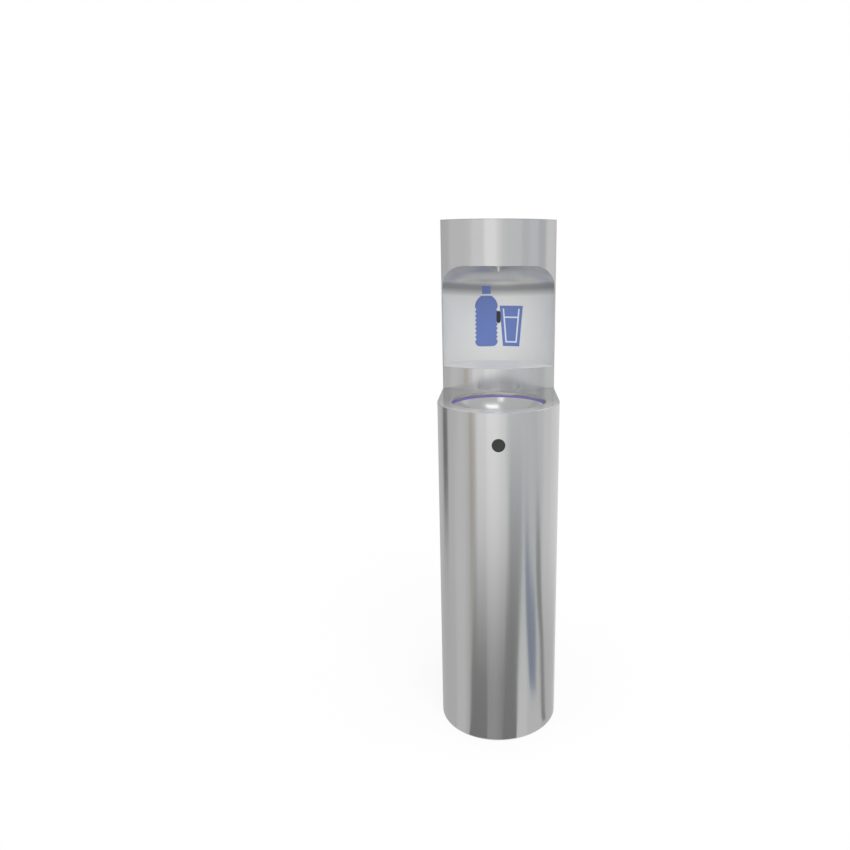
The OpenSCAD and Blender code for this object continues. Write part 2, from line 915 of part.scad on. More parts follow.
// Plates that bear on the flange on one side and on a spacer round the stud on the other
module clamp_plates() {
    reach = stud_d / 2 + bowl_flange_w / 2;
    spacer_r = stud_d / 2 + 2;
    color(dull_steel)
        around_bowl()
            difference() {
                union() {
                    translate([-reach, -clamp_w / 2, clamp_under])
                        cube([reach + spacer_r, clamp_w, clamp_t]);
                    translate([0, 0, clamp_under])
                        intersection() {
                            cylinder(r = spacer_r, h = deck_under - clamp_under);
                            translate([-stud_d / 2, -spacer_r, 0])
                                cube([2 * spacer_r, 2 * spacer_r, deck_under - clamp_under]);
                        }
                }
                translate([0, 0, clamp_under - 1])
                    cylinder(r = stud_d / 2 + seat_gap / 2, h = deck_under);
            }
}

module clamp_nuts() {
    nut_h = 5;
    color(dull_steel)
        around_bowl()
            translate([0, 0, clamp_under - nut_h])
                difference() {
                    cylinder(d = stud_d * 1.8, h = nut_h, $fn = 6);
                    translate([0, 0, -1])
                        cylinder(r = stud_d / 2 + seat_gap / 2, h = nut_h + 2);
                }
}

// Drain

module waste_body() {
    color(steel)
        translate([0, front_axis_y, 0])
            difference() {
                union() {
                    translate([0, 0, sump_floor])
                        ring(tail_bore_r, sump_r - 1, waste_flange_t);
                    translate([0, 0, tail_end])
                        ring(tail_bore_r, tail_r, tail_h);
                    translate([-tail_bore_r - 1, -crossbar_w / 2, waste_top - crossbar_h])
                        cube([2 * tail_bore_r + 2, crossbar_w, crossbar_h]);
                }
                translate([0, 0, waste_top - 2 * crossbar_h])
                    cylinder(r = screw_d / 2 + seat_gap / 2, h = 3 * crossbar_h);
            }
}

module strainer_grid() {
    ring_pitch = 1.6 * strainer_hole_d;
    ring_count = floor((tail_bore_r - strainer_hole_d / 2) / ring_pitch);
    color(steel)
        translate([0, front_axis_y, waste_top])
            difference() {
                cylinder(r = sump_r - 2, h = strainer_t);
                translate([0, 0, -1])
                    cylinder(r = screw_d / 2 + seat_gap / 2, h = strainer_t + 2);
                for (k = [1 : ring_count], i = [0 : 6 * k - 1])
                    rotate([0, 0, 60 * i / k])
                        translate([k * ring_pitch, 0, -1])
                            cylinder(d = strainer_hole_d, h = strainer_t + 2);
            }
}

module strainer_screw() {
    head_h = 2;
    color(steel)
        translate([0, front_axis_y, waste_top + strainer_t]) {
            cylinder(r1 = screw_d, r2 = screw_d * 0.8, h = head_h);
            translate([0, 0, -strainer_t - crossbar_h])
                cylinder(d = screw_d, h = strainer_t + crossbar_h);
        }
}

module waste_gasket() {
    color(rubber)
        bowl_ring(tail_r + seat_gap, sump_r - 1, sump_under - gasket_t, gasket_t);
}

module waste_nut() {
    color(brass)
        translate([0, front_axis_y, sump_under - gasket_t - waste_nut_h])
            difference() {
                cylinder(r = sump_r, h = waste_nut_h, $fn = 6);
                translate([0, 0, -1])
                    cylinder(r = tail_r + seat_gap, h = waste_nut_h + 2);
            }
}

// Bottle trap with a socket for the tail and an outlet towards the back
module trap_body() {
    wall = 3;
    color(white_plastic)
        difference() {
            union() {
                translate([0, front_axis_y, 0])
                    rotate_extrude()
                        polygon([
                            [0, trap_end],
                            [trap_r, trap_end],
                            [trap_r, tail_end - 14],
                            [trap_socket_r, tail_end - 4],
                            [trap_socket_r, tail_end + trap_socket_h],
                            [0, tail_end + trap_socket_h]
                        ]);
                along_y(0, front_axis_y, trap_outlet_z)
                    cylinder(r = waste_pipe_r + wall, h = trap_outlet_y - front_axis_y);
            }
            translate([0, front_axis_y, tail_end])
                cylinder(r = tail_r + seat_gap, h = trap_socket_h + 1);
            translate([0, front_axis_y, trap_end - 1])
                cylinder(r = tail_bore_r, h = trap_h + 2);
            along_y(0, trap_outlet_y - waste_depth, trap_outlet_z)
                cylinder(r = waste_pipe_r + seat_gap, h = waste_depth + 1);
            along_y(0, front_axis_y, trap_outlet_z)
                cylinder(r = waste_pipe_r - waste_pipe_wall, h = trap_outlet_y - front_axis_y);
        }
}

module trap_cup() {
    wall = 4;
    lap = 16;
    low = trap_end + lap - trap_cup_h;
    cup_r = trap_r + seat_gap + wall;
    color(white_plastic)
        translate([0, front_axis_y, low])
            difference() {
                union() {
                    cylinder(r = cup_r, h = trap_cup_h);
                    for (i = [0 : trap_grip_count - 1])
                        rotate([0, 0, 360 * i / trap_grip_count])
                            translate([cup_r, 0, 0])
                                cylinder(r = wall / 2, h = trap_cup_h);
                }
                translate([0, 0, trap_cup_h - lap])
                    cylinder(r = trap_r + seat_gap, h = lap + 1);
                translate([0, 0, wall])
                    cylinder(r = trap_r - wall, h = trap_cup_h);
            }
}

module waste_pipe() {
    color(white_plastic)
        bent_tube(waste_route, waste_pipe_r, waste_pipe_wall, waste_bend_r);
}

// Column and alcove

module window_outline() {
    corner_x = window_half_w - window_corner_r;
    translate([-window_half_w, ledge_under])
        square([2 * window_half_w, lip_h - window_corner_r - ledge_under]);
    translate([-corner_x, ledge_under])
        square([2 * corner_x, lip_h - ledge_under]);
    for (x = [-corner_x, corner_x])
        translate([x, lip_h - window_corner_r])
            circle(r = window_corner_r);
}

module column_front() {
    color(steel) difference() {
        translate([0, 0, pedestal_h])
            linear_extrude(column_top - pedestal_h)
                difference() {
                    bulge_plan(0);
                    translate([0, front_arc_y])
                        circle(r = front_arc_r - sheet);
                }
        translate([0, rear_axis_y + 1, 0])
            rotate([90, 0, 0])
                linear_extrude(2 * column_bulge)
                    window_outline();
    }
}

// Plate that covers the top edge of the wall in front of it and runs on under the liner
module bottle_ledge() {
    color(steel)
        translate([0, 0, ledge_under])
            linear_extrude(sheet) {
                intersection() {
                    column_plan(sheet + seat_gap);
                    translate([0, liner_axis_y])
                        circle(r = liner_outer_r + ledge_flange);
                }
                intersection() {
                    bulge_plan(0);
                    translate([seat_gap - window_half_w, rear_axis_y - 2 * column_bulge])
                        square([2 * (window_half_w - seat_gap), 2 * column_bulge]);
                }
            }
}

// Folded posts between the deck and the rear of the ledge
module ledge_supports() {
    post_y = liner_axis_y + sqrt(liner_r ^ 2 - (post_x + post_w / 2) ^ 2) - post_w;
    color(dull_steel)
        for (x = [-post_x, post_x])
            translate([x - post_w / 2, post_y, pedestal_h]) {
                cube([post_w, sheet, ledge_under - pedestal_h]);
                for (z = [0, ledge_under - pedestal_h - sheet])
                    translate([0, 0, z])
                        cube([post_w, post_w / 2, sheet]);
            }
}

// Section of the alcove: an upright wall that rounds over into a flat ceiling
module liner_section(grow) {
    wall_top = lip_h - ceiling_fillet_r;
    round_x = liner_r - ceiling_fillet_r;
    translate([0, ledge_h])
        square([liner_r + grow, wall_top - ledge_h]);
    translate([0, ledge_h])
        square([round_x, lip_h + grow - ledge_h]);
    intersection() {
        translate([round_x, wall_top])
            circle(r = ceiling_fillet_r + grow);
        translate([round_x, wall_top])
            square([liner_r, liner_r]);
    }
}

module alcove_liner() {
    color(steel) difference() {
        intersection() {
            translate([0, liner_axis_y, 0])
                rotate_extrude()
                    difference() {
                        liner_section(liner_sheet);
                        liner_section(0);
                    }
            translate([0, 0, ledge_h])
                linear_extrude(ceiling_top - ledge_h)
                    column_plan(sheet + seat_gap);
        }
        translate([0, liner_back_y + 10, sensor_z])
            rotate([90, 0, 0])
                linear_extrude(20)
                    pill(sensor_w + 2 * seat_gap, sensor_h + 2 * seat_gap);
        translate([0, nozzle_y, lip_h - 1])
            cylinder(r = nozzle_shank_d / 2 + seat_gap, h = liner_sheet + 2);
    }
}

// Lid with a skirt that drops inside the column
module top_cap() {
    color(steel) {
        translate([0, 0, column_top])
            linear_extrude(sheet)
                column_plan(0);
        translate([0, 0, column_top - cap_skirt_h])
            linear_extrude(cap_skirt_h)
                difference() {
                    column_plan(sheet + seat_gap);
                    column_plan(2 * sheet + seat_gap);
                }
    }
}

// Turned outlet with a flange under the ceiling and a threaded shank above it
module nozzle() {
    tip_r = nozzle_tip_d / 2;
    bore_r = 3;
    color(steel)
        translate([0, nozzle_y, 0])
            difference() {
                union() {
                    translate([0, 0, lip_h - nozzle_flange_t])
                        cylinder(r1 = nozzle_flange_d / 2 - 1, r2 = nozzle_flange_d / 2, h = nozzle_flange_t);
                    translate([0, 0, lip_h - nozzle_drop])
                        cylinder(r1 = tip_r - 1, r2 = tip_r, h = nozzle_drop);
                    translate([0, 0, lip_h - nozzle_flange_t])
                        cylinder(d = nozzle_shank_d, h = nozzle_top - lip_h + nozzle_flange_t);
                }
                translate([0, 0, lip_h - nozzle_drop - 1])
                    cylinder(r = bore_r, h = nozzle_top - lip_h + nozzle_drop + 2);
            }
}

module nozzle_seal() {
    color(rubber)
        translate([0, nozzle_y, ceiling_top])
            ring(nozzle_shank_d / 2 + seat_gap / 2, nozzle_flange_d / 2, nozzle_seal_t);
}

module nozzle_nut() {
    color(brass)
        translate([0, nozzle_y, ceiling_top + nozzle_seal_t])
            difference() {
                cylinder(d = nozzle_flange_d, h = nozzle_nut_h, $fn = 6);
                translate([0, 0, -1])
                    cylinder(r = nozzle_shank_d / 2 + seat_gap / 2, h = nozzle_nut_h + 2);
            }
}

module sensor_window() {
    color(dark)
        translate([0, sensor_seat_y, sensor_z])
            rotate([90, 0, 0])
                linear_extrude(sensor_seat_y - liner_back_y + sensor_proud)
                    pill(sensor_w, sensor_h);
}

module sensor_body() {
    body_h = sensor_h + 2 * sensor_body_margin;
    color(dark)
        translate([0, sensor_seat_y + sensor_body_d, sensor_z])
            rotate([90, 0, 0])
                linear_extrude(sensor_body_d)
                    rounded_outline(sensor_body_w, body_h, 4);
}

module sensor_cable() {
    color(rubber)
        bent_rod(cable_route, cable_r, cable_bend_r);
}

module riser_tube() {
    color(blue_tube)
        bent_tube(riser_route, tube_r, tube_wall, tube_bend_r);
}

// Button

// Housing whose front follows the round shell, with a step that keeps the button in
module button_housing() {
    lip_t = 4;
    step_y = shoulder_y - seat_gap;
    color(grey_plastic)
        intersection() {
            difference() {
                union() {
                    along_y(0, front_face_y, button_z)
                        cylinder(r = housing_r, h = housing_end_y - front_face_y);
                    along_y(0, front_face_y, button_z)
                        cylinder(r = housing_r + housing_wall, h = 2 * lip_t + sheet);
                }
                along_y(0, front_face_y - 1, button_z)
                    cylinder(r = housing_bore_r, h = step_y - front_face_y + 2);
                along_y(0, step_y, button_z)
                    cylinder(r = chamber_r, h = housing_back_y - step_y);
                along_y(0, front_face_y, button_z)
                    cylinder(r = stem_bore_r, h = housing_end_y - front_face_y + 1);
            }
            translate([0, front_axis_y, button_z - 2 * housing_r])
                cylinder(r = seat_r, h = 4 * housing_r);
        }
}

// Button with a rounded edge and a face dished by a large ball
module push_button() {
    face_dish_r = button_r - 2 * button_round_r;
    face_ball_r = (face_dish_r ^ 2 + button_dish ^ 2) / (2 * button_dish);
    color(dark) {
        along_y(0, button_face_y, button_z)
            rotate_extrude()
                difference() {
                    round_foot_section(button_r, button_head_h, button_round_r);
                    intersection() {
                        translate([0, button_dish - face_ball_r])
                            circle(r = face_ball_r);
                        square([button_r, button_head_h]);
                    }
                }
        along_y(0, shoulder_y, button_z)
            cylinder(r = shoulder_r, h = button_shoulder_t);
        along_y(0, shoulder_y, button_z)
            cylinder(d = stem_d, h = stem_end_y - shoulder_y);
    }
}

// Return spring round the stem, drawn as the sleeve that its turns fill
module button_spring() {
    color(dull_steel)
        along_y(0, spring_y, button_z)
            ring(spring_d / 2 - spring_wire_d, spring_d / 2, spring_h);
}

module button_switch() {
    color(dark) difference() {
        translate([-switch_w / 2, housing_end_y, button_z - switch_w / 2])
            cube([switch_w, switch_h, switch_w]);
        along_y(0, housing_end_y - 1, button_z)
            cylinder(r = stem_bore_r, h = stem_bore_end_y - housing_end_y + 1);
    }
}

// Service door

module service_door() {
    rib_angle = lock_angle - 8;
    color(steel) {
        difference() {
            rear_sector(-door_angle, door_angle, inner_r, body_r, door_low, door_high - door_low);
            at_rear(lock_angle, lock_z)
                along_y(0, inner_r - sheet - 2, 0)
                    cylinder(r = lock_r + seat_gap, h = 3 * sheet + 6);
        }
        for (z = [door_low + door_rib_inset, door_high - door_rib_inset - sheet])
            rear_sector(-rib_angle, rib_angle, inner_r - door_rib_d, inner_r + sheet / 2, z, sheet);
    }
}

// Frame behind the opening's edges, which the door closes against
module door_frame() {
    outer_angle = door_half_angle + frame_out_angle;
    inner_angle = door_half_angle - frame_in_angle;
    frame_out_h = 2 * frame_in_h;
    color(dull_steel) difference() {
        rear_sector(-outer_angle, outer_angle, frame_inner_r, seat_r,
            door_bottom - frame_out_h, door_top - door_bottom + 2 * frame_out_h);
        rear_sector(-inner_angle, inner_angle, seat_r - 2 * frame_t, seat_r + frame_t,
            door_bottom + frame_in_h, door_top - door_bottom - 2 * frame_in_h);
    }
}

// Both hinges stand on the left edge of the door, seen from the front.
module at_hinges() {
    for (z = [door_bottom + hinge_inset, door_top - hinge_inset])
        translate([0, 0, z - hinge_h / 2])
            children();
}

module on_hinge_axis(z) {
    at_rear(-hinge_angle, z)
        translate([0, hinge_axis_r, 0])
            children();
}

// Leaf rolled into a full-height knuckle, before it is notched for the other leaf
module rolled_leaf(from_angle, to_angle) {
    difference() {
        union() {
            rear_sector(from_angle, to_angle, body_r, body_r + leaf_t, 0, hinge_h);
            on_hinge_axis(0)
                cylinder(r = knuckle_r, h = hinge_h);
        }
        on_hinge_axis(-1)
            cylinder(r = hinge_pin_d / 2 + pin_gap, h = hinge_h + 2);
    }
}

// Notch that gives the other leaf's knuckle room
module knuckle_notch(z, h) {
    rear_sector(-hinge_angle - near_angle, -hinge_angle + near_angle, body_r - 1, body_r + 2 * knuckle_d,
        z, h);
}

module hinge_fixed_leaves() {
    notch_z = (hinge_h - door_knuckle_h) / 2 - knuckle_gap;
    color(dull_steel)
        at_hinges()
            difference() {
                rolled_leaf(-hinge_angle - leaf_angle, -hinge_angle);
                knuckle_notch(notch_z, hinge_h - 2 * notch_z);
            }
}

module hinge_door_leaves() {
    notch_h = (hinge_h - door_knuckle_h) / 2;
    color(dull_steel)
        at_hinges()
            difference() {
                rolled_leaf(-hinge_angle, -hinge_angle + leaf_angle);
                for (z = [-1, hinge_h - notch_h])
                    knuckle_notch(z, notch_h + 1);
            }
}

module hinge_pins() {
    head_h = 1.5;
    color(dull_steel)
        at_hinges()
            on_hinge_axis(0) {
                cylinder(d = hinge_pin_d, h = hinge_h);
                for (z = [-head_h, hinge_h])
                    translate([0, 0, z])
                        cylinder(r = knuckle_r - 1, h = head_h);
            }
}

module lock_barrel() {
    color(dull_steel)
        at_rear(lock_angle, lock_z)
            difference() {
                union() {
                    along_y(0, body_r - lock_h, 0)
                        cylinder(r = lock_r, h = lock_h);
                    along_y(0, body_r + seat_gap, 0)
                        cylinder(r = lock_face_r, h = lock_face_t);
                    along_y(0, body_r - 1, 0)
                        cylinder(r = lock_r, h = lock_face_t + 1);
                }
                along_y(0, body_r - lock_h - 1, 0)
                    cylinder(r = plug_d / 2 + pin_gap, h = lock_h + lock_face_t + 4);
            }
}

// Nut behind the door, whose front rests on the door's inside at its edges
module lock_nut() {
    nut_r = lock_r + 4;
    nut_y = rear_nut_y(nut_r);
    color(dull_steel)
        at_rear(lock_angle, lock_z)
            difference() {
                along_y(0, nut_y - lock_nut_h, 0)
                    cylinder(r = nut_r, h = lock_nut_h, $fn = 6);
                along_y(0, nut_y - lock_nut_h - 1, 0)
                    cylinder(r = lock_r + seat_gap / 2, h = lock_nut_h + 2);
            }
}

function rear_nut_y(r) = sqrt(inner_r ^ 2 - r ^ 2) - seat_gap;

// Plug with its key slot, and the cam on its inner end; at rest the cam hangs clear of the strike
module lock_cam() {
    plug_out = lock_face_t + seat_gap;
    slot_w = 1.5;
    slot_h = 8;
    slot_d = 6;
    color(dull_steel)
        at_rear(lock_angle, lock_z)
            difference() {
                union() {
                    along_y(0, cam_outer_y - cam_t, 0)
                        cylinder(d = plug_d, h = body_r - cam_outer_y + cam_t + plug_out);
                    translate([-cam_w / 2, cam_outer_y - cam_t, -cam_reach])
                        cube([cam_w, cam_t, cam_reach]);
                    along_y(0, cam_outer_y - cam_t, 0)
                        cylinder(r = cam_w / 2, h = cam_t);
                }
                translate([-slot_w / 2, body_r + plug_out - slot_d, -slot_h / 2])
                    cube([slot_w, slot_d + 1, slot_h]);
            }
}

// Bracket on the frame, beside the door, that the cam turns behind
module strike_plate() {
    web_x = strike_web_x + strike_t;
    color(dull_steel)
        at_rear(lock_angle, lock_z)
            intersection() {
                union() {
                    translate([strike_x, strike_y, -strike_h / 2])
                        cube([web_x - strike_x, strike_t, strike_h]);
                    translate([strike_web_x, strike_y, -strike_h / 2])
                        cube([strike_t, body_r - strike_y, strike_h]);
                }
                translate([0, 0, -strike_h])
                    cylinder(r = frame_inner_r - seat_gap, h = 2 * strike_h);
            }
}

// Water and control side

// Folded panel on the base that carries the filter, the valves and the control box
module mounting_panel() {
    foot_w = 30;
    color(dull_steel)
        translate([0, panel_y, base_t]) {
            translate([-panel_w / 2, -panel_t, panel_clear])
                cube([panel_w, panel_t, panel_h - panel_clear]);
            for (side = [-1, 1]) {
                translate([side * (panel_w - panel_t) / 2 - panel_t / 2, -panel_flange_d, 0])
                    cube([panel_t, panel_flange_d, panel_h]);
                translate([side * (panel_w - foot_w) / 2 - foot_w / 2, -panel_flange_d, 0])
                    cube([foot_w, panel_flange_d, panel_t]);
            }
        }
}

module filter_bracket() {
    shelf_d = line_setback + filter_head_d / 4;
    color(dull_steel)
        translate([-filter_x - bracket_w / 2, panel_y, head_high]) {
            cube([bracket_w, shelf_d, bracket_t]);
            cube([bracket_w, bracket_t, bracket_leg_h]);
        }
}

module filter_head() {
    bevel = 4;
    head_r = filter_head_d / 2;
    color(white_plastic) {
        translate([-filter_x, line_y, head_low])
            rotate_extrude()
                polygon([
                    [0, 0],
                    [head_r, 0],
                    [head_r, filter_head_h - bevel],
                    [head_r - bevel, filter_head_h],
                    [0, filter_head_h]
                ]);
        rod([filter_left, line_y, port_z], [filter_right, line_y, port_z], port_r);
    }
}

// Throw-away cartridge: round lower edge, shoulder and neck
module filter_cartridge() {
    r = cartridge_d / 2;
    neck_h = 8;
    shoulder_h = 14;
    body_h = cartridge_h - neck_h - shoulder_h;
    color(white_plastic)
        translate([-filter_x, line_y, head_low - cartridge_h])
            rotate_extrude() {
                round_foot_section(r, body_h, cartridge_round_r);
                polygon([
                    [0, body_h],
                    [r, body_h],
                    [r * 0.7, body_h + shoulder_h],
                    [r * 0.7, cartridge_h],
                    [0, cartridge_h]
                ]);
            }
}

module supply_tube() {
    color(blue_tube)
        bent_tube(supply_route, tube_r, tube_wall, tube_bend_r);
}

module filter_link_tube() {
    color(blue_tube)
        bent_tube(link_route, tube_r, tube_wall, tube_bend_r);
}

// Brass block with an inlet at its side, an outlet on top and a lug to the panel
module solenoid_valve() {
    half = solenoid_block / 2;
    lug_w = solenoid_block * 0.6;
    color(brass) {
        translate([riser_x - half, line_y - half, port_z - half])
            cube(solenoid_block);
        rod([solenoid_left, line_y, port_z], [riser_x, line_y, port_z], port_r);
        rod([riser_x, line_y, port_z], [riser_x, line_y, solenoid_top], port_r);
        translate([riser_x - lug_w / 2, panel_y, port_z - lug_w / 2])
            cube([lug_w, line_y - panel_y, lug_w]);
    }
}

module solenoid_coil() {
    plug_w = 14;
    coil_y = line_y + solenoid_block / 2;
    color(dark) {
        along_y(riser_x, coil_y, port_z)
            cylinder(d = coil_d, h = coil_h);
        translate([riser_x - plug_w / 2, coil_y + coil_h / 3, port_z - coil_d / 2 - plug_w / 2])
            cube([plug_w, plug_w, coil_d / 2]);
    }
}

module stop_valve() {
    hex_d = valve_d + 4;
    color(brass) difference() {
        union() {
            translate([0, line_y, inlet_z])
                cylinder(d = inlet_d, h = inlet_h + 1);
            for (z = [valve_low, valve_high - valve_hex_h])
                translate([0, line_y, z])
                    cylinder(d = hex_d, h = valve_hex_h, $fn = 6);
            translate([0, line_y, valve_low])
                cylinder(d = valve_d, h = valve_h);
            translate([0, line_y, valve_mid])
                sphere(d = ball_d);
            translate([0, line_y, valve_high - 1])
                cylinder(r = port_r, h = port_h + 1);
            along_y(0, line_y, valve_mid)
                cylinder(d = boss_d, h = boss_reach);
        }
        along_y(0, line_y + boss_reach - stem_bore_h, valve_mid)
            cylinder(r = valve_stem_d / 2 + pin_gap, h = stem_bore_h + 1);
        translate([0, line_y, inlet_z - 1])
            cylinder(d = inlet_d * 0.7, h = inlet_h);
    }
}

// Lever with its stem; it lies along the pipe while the valve is open
module valve_lever() {
    lever_y = line_y + boss_reach + seat_gap;
    color("firebrick") {
        along_y(0, lever_y - stem_bore_h, valve_mid)
            cylinder(d = valve_stem_d, h = stem_bore_h + lever_t);
        along_y(0, lever_y, valve_mid)
            cylinder(d = lever_w, h = lever_t);
        translate([-lever_w / 2, lever_y, valve_mid])
            cube([lever_w, lever_t, lever_reach - lever_w / 2]);
        along_y(0, lever_y, valve_mid + lever_reach - lever_w / 2)
            cylinder(d = lever_w, h = lever_t);
    }
}

// Saddle between the panel and the stop valve's upper hexagon
module valve_clip() {
    clip_z = valve_high - valve_hex_h - clip_h;
    color(grey_plastic) difference() {
        translate([-clip_w / 2, panel_y, clip_z])
            cube([clip_w, line_y - panel_y, clip_h]);
        translate([0, line_y, clip_z - 1])
            cylinder(r = valve_d / 2 + seat_gap, h = clip_h + 2);
        translate([0, line_y, valve_mid])
            sphere(r = ball_d / 2 + seat_gap);
    }
}

module control_box() {
    color(grey_plastic)
        translate([box_x, panel_y + box_d, box_z + box_h / 2])
            rotate([90, 0, 0])
                linear_extrude(box_d)
                    rounded_outline(box_w, box_h, box_round_r);
}

module control_lid() {
    color(white_plastic)
        translate([box_x, panel_y + box_d + lid_t, box_z + box_h / 2])
            rotate([90, 0, 0])
                linear_extrude(lid_t)
                    rounded_outline(box_w, box_h, box_round_r);
}

// Gland in the box's bottom for a lead that comes from the building
module cable_gland() {
    nut_h = 6;
    dome_h = 16;
    color(dark)
        translate([box_x, box_mid_y, box_z])
            difference() {
                union() {
                    translate([0, 0, -nut_h])
                        cylinder(d = gland_d + 4, h = nut_h, $fn = 6);
                    translate([0, 0, -nut_h - dome_h])
                        cylinder(d1 = gland_d * 0.7, d2 = gland_d, h = dome_h);
                }
                translate([0, 0, -nut_h - dome_h - 1])
                    cylinder(d = gland_d * 0.4, h = nut_h + dome_h);
            }
}

base_plate();
front_shell();
rear_shell();
basin_deck();
deck_brackets();
bowl();
light_ring();
led_strip();
clamp_studs();
clamp_plates();
clamp_nuts();
waste_body();
strainer_grid();
strainer_screw();
waste_gasket();
waste_nut();
trap_body();
trap_cup();
waste_pipe();
column_front();
bottle_ledge();
ledge_supports();
alcove_liner();
top_cap();
nozzle();
nozzle_seal();
nozzle_nut();
sensor_window();
sensor_body();
sensor_cable();
riser_tube();
button_housing();
push_button();
button_spring();
button_switch();
service_door();
door_frame();
hinge_fixed_leaves();
hinge_door_leaves();
hinge_pins();
lock_barrel();
lock_nut();
lock_cam();
strike_plate();
mounting_panel();
filter_bracket();
filter_head();
filter_cartridge();
supply_tube();
filter_link_tube();
solenoid_valve();
solenoid_coil();
stop_valve();
valve_lever();
valve_clip();
control_box();
control_lid();
cable_gland();
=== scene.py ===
import math

import bmesh
import bpy
from mathutils import Matrix, Vector


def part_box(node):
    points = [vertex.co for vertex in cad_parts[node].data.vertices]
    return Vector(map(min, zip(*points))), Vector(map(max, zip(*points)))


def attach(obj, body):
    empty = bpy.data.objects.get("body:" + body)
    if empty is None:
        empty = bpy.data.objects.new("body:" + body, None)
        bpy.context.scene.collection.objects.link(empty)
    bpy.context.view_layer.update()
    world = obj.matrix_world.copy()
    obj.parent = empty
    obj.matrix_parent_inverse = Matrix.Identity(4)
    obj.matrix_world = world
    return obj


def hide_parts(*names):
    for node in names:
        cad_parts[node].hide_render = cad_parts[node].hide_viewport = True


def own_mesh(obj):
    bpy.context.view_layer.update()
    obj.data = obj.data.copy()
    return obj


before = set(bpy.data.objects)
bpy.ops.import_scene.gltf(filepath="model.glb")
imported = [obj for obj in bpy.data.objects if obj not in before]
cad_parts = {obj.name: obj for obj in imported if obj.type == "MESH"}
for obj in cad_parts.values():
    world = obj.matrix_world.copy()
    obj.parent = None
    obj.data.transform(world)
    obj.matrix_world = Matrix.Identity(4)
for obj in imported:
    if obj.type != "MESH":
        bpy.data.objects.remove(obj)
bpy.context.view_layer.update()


# The base plate and the inner steelwork that carries the shells, the deck and the ledge.
# Hot-dip galvanised sheet, folded and punched, which shows the zinc's crystal flakes.
# The base is bolted to the floor, and the mounting panel stands on it.
def add_node(tree, kind, **values):
    node = tree.nodes.new("ShaderNode" + kind)
    for name, value in values.items():
        setattr(node, name, value)
    return node


def set_inputs(node, **values):
    for name, value in values.items():
        node.inputs[name.replace("_", " ")].default_value = value
    return node


def group_ends(tree, inputs, outputs):
    for name, value in inputs.items():
        socket = tree.interface.new_socket(name=name, in_out="INPUT", socket_type="NodeSocketFloat")
        socket.default_value = value
    for name in outputs:
        tree.interface.new_socket(name=name, in_out="OUTPUT", socket_type="NodeSocketFloat")
    return tree.nodes.new("NodeGroupInput"), tree.nodes.new("NodeGroupOutput")


zinc_flakes = bpy.data.node_groups.new("zinc_flakes", "ShaderNodeTree")
flake_in, flake_out = group_ends(zinc_flakes, {"Flakes per metre": 60.0}, ("Flake", "Dullness"))
flake_place = add_node(zinc_flakes, "TexCoord")
flake_cells = add_node(zinc_flakes, "TexVoronoi", feature="F1")
flake_tone = add_node(zinc_flakes, "SeparateColor")
flake_dulling = set_inputs(add_node(zinc_flakes, "TexNoise"), Scale=9.0, Detail=4.0)
zinc_flakes.links.new(flake_place.outputs["Object"], flake_cells.inputs["Vector"])
zinc_flakes.links.new(flake_place.outputs["Object"], flake_dulling.inputs["Vector"])
zinc_flakes.links.new(flake_in.outputs["Flakes per metre"], flake_cells.inputs["Scale"])
zinc_flakes.links.new(flake_cells.outputs["Color"], flake_tone.inputs[0])
zinc_flakes.links.new(flake_tone.outputs[0], flake_out.inputs["Flake"])
zinc_flakes.links.new(flake_dulling.outputs["Fac"], flake_out.inputs["Dullness"])


def new_material(name):
    material = bpy.data.materials.new(name)
    material.use_nodes = True
    return material, material.node_tree, material.node_tree.nodes["Principled BSDF"]


mix_low = 6
mix_high = 7
mix_result = 2


# The Mix node's colour sockets are found by their places, because their names come more than once.
def mixed_colour(tree, mask, low, high, target):
    mix = add_node(tree, "Mix", data_type="RGBA")
    tree.links.new(mask, mix.inputs["Factor"])
    mix.inputs[mix_low].default_value = (*low, 1)
    mix.inputs[mix_high].default_value = (*high, 1)
    tree.links.new(mix.outputs[mix_result], target)
    return mix


def mapped_value(tree, mask, ends, low, high, target):
    span = set_inputs(add_node(tree, "MapRange"), From_Min=ends[0], From_Max=ends[1], To_Min=low, To_Max=high)
    tree.links.new(mask, span.inputs["Value"])
    tree.links.new(span.outputs[0], target)
    return span


noise_ends = (0.3, 0.7)
edge_samples = 4
zinc_edge_r = 0.0006


def soft_edge(tree, radius):
    return set_inputs(add_node(tree, "Bevel", samples=edge_samples), Radius=radius)


def flaked_metal(name, dark, light, flakes_per_metre, polish):
    material, tree, surface = new_material(name)
    flakes = add_node(tree, "Group", node_tree=zinc_flakes)
    flakes.inputs["Flakes per metre"].default_value = flakes_per_metre
    mixed_colour(tree, flakes.outputs["Flake"], dark, light, surface.inputs["Base Color"])
    mapped_value(tree, flakes.outputs["Dullness"], noise_ends, *polish, surface.inputs["Roughness"])
    tree.links.new(soft_edge(tree, zinc_edge_r).outputs[0], surface.inputs["Normal"])
    set_inputs(surface, Metallic=1.0)
    return material


def dress(material, *names):
    for name in names:
        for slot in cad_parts[name].material_slots:
            slot.material = material


galvanised = flaked_metal("galvanised_sheet", dark=(0.42, 0.44, 0.46), light=(0.56, 0.58, 0.59),
                          flakes_per_metre=60.0, polish=(0.3, 0.5))
dress(galvanised, "base_plate", "deck_brackets", "ledge_supports", "mounting_panel")


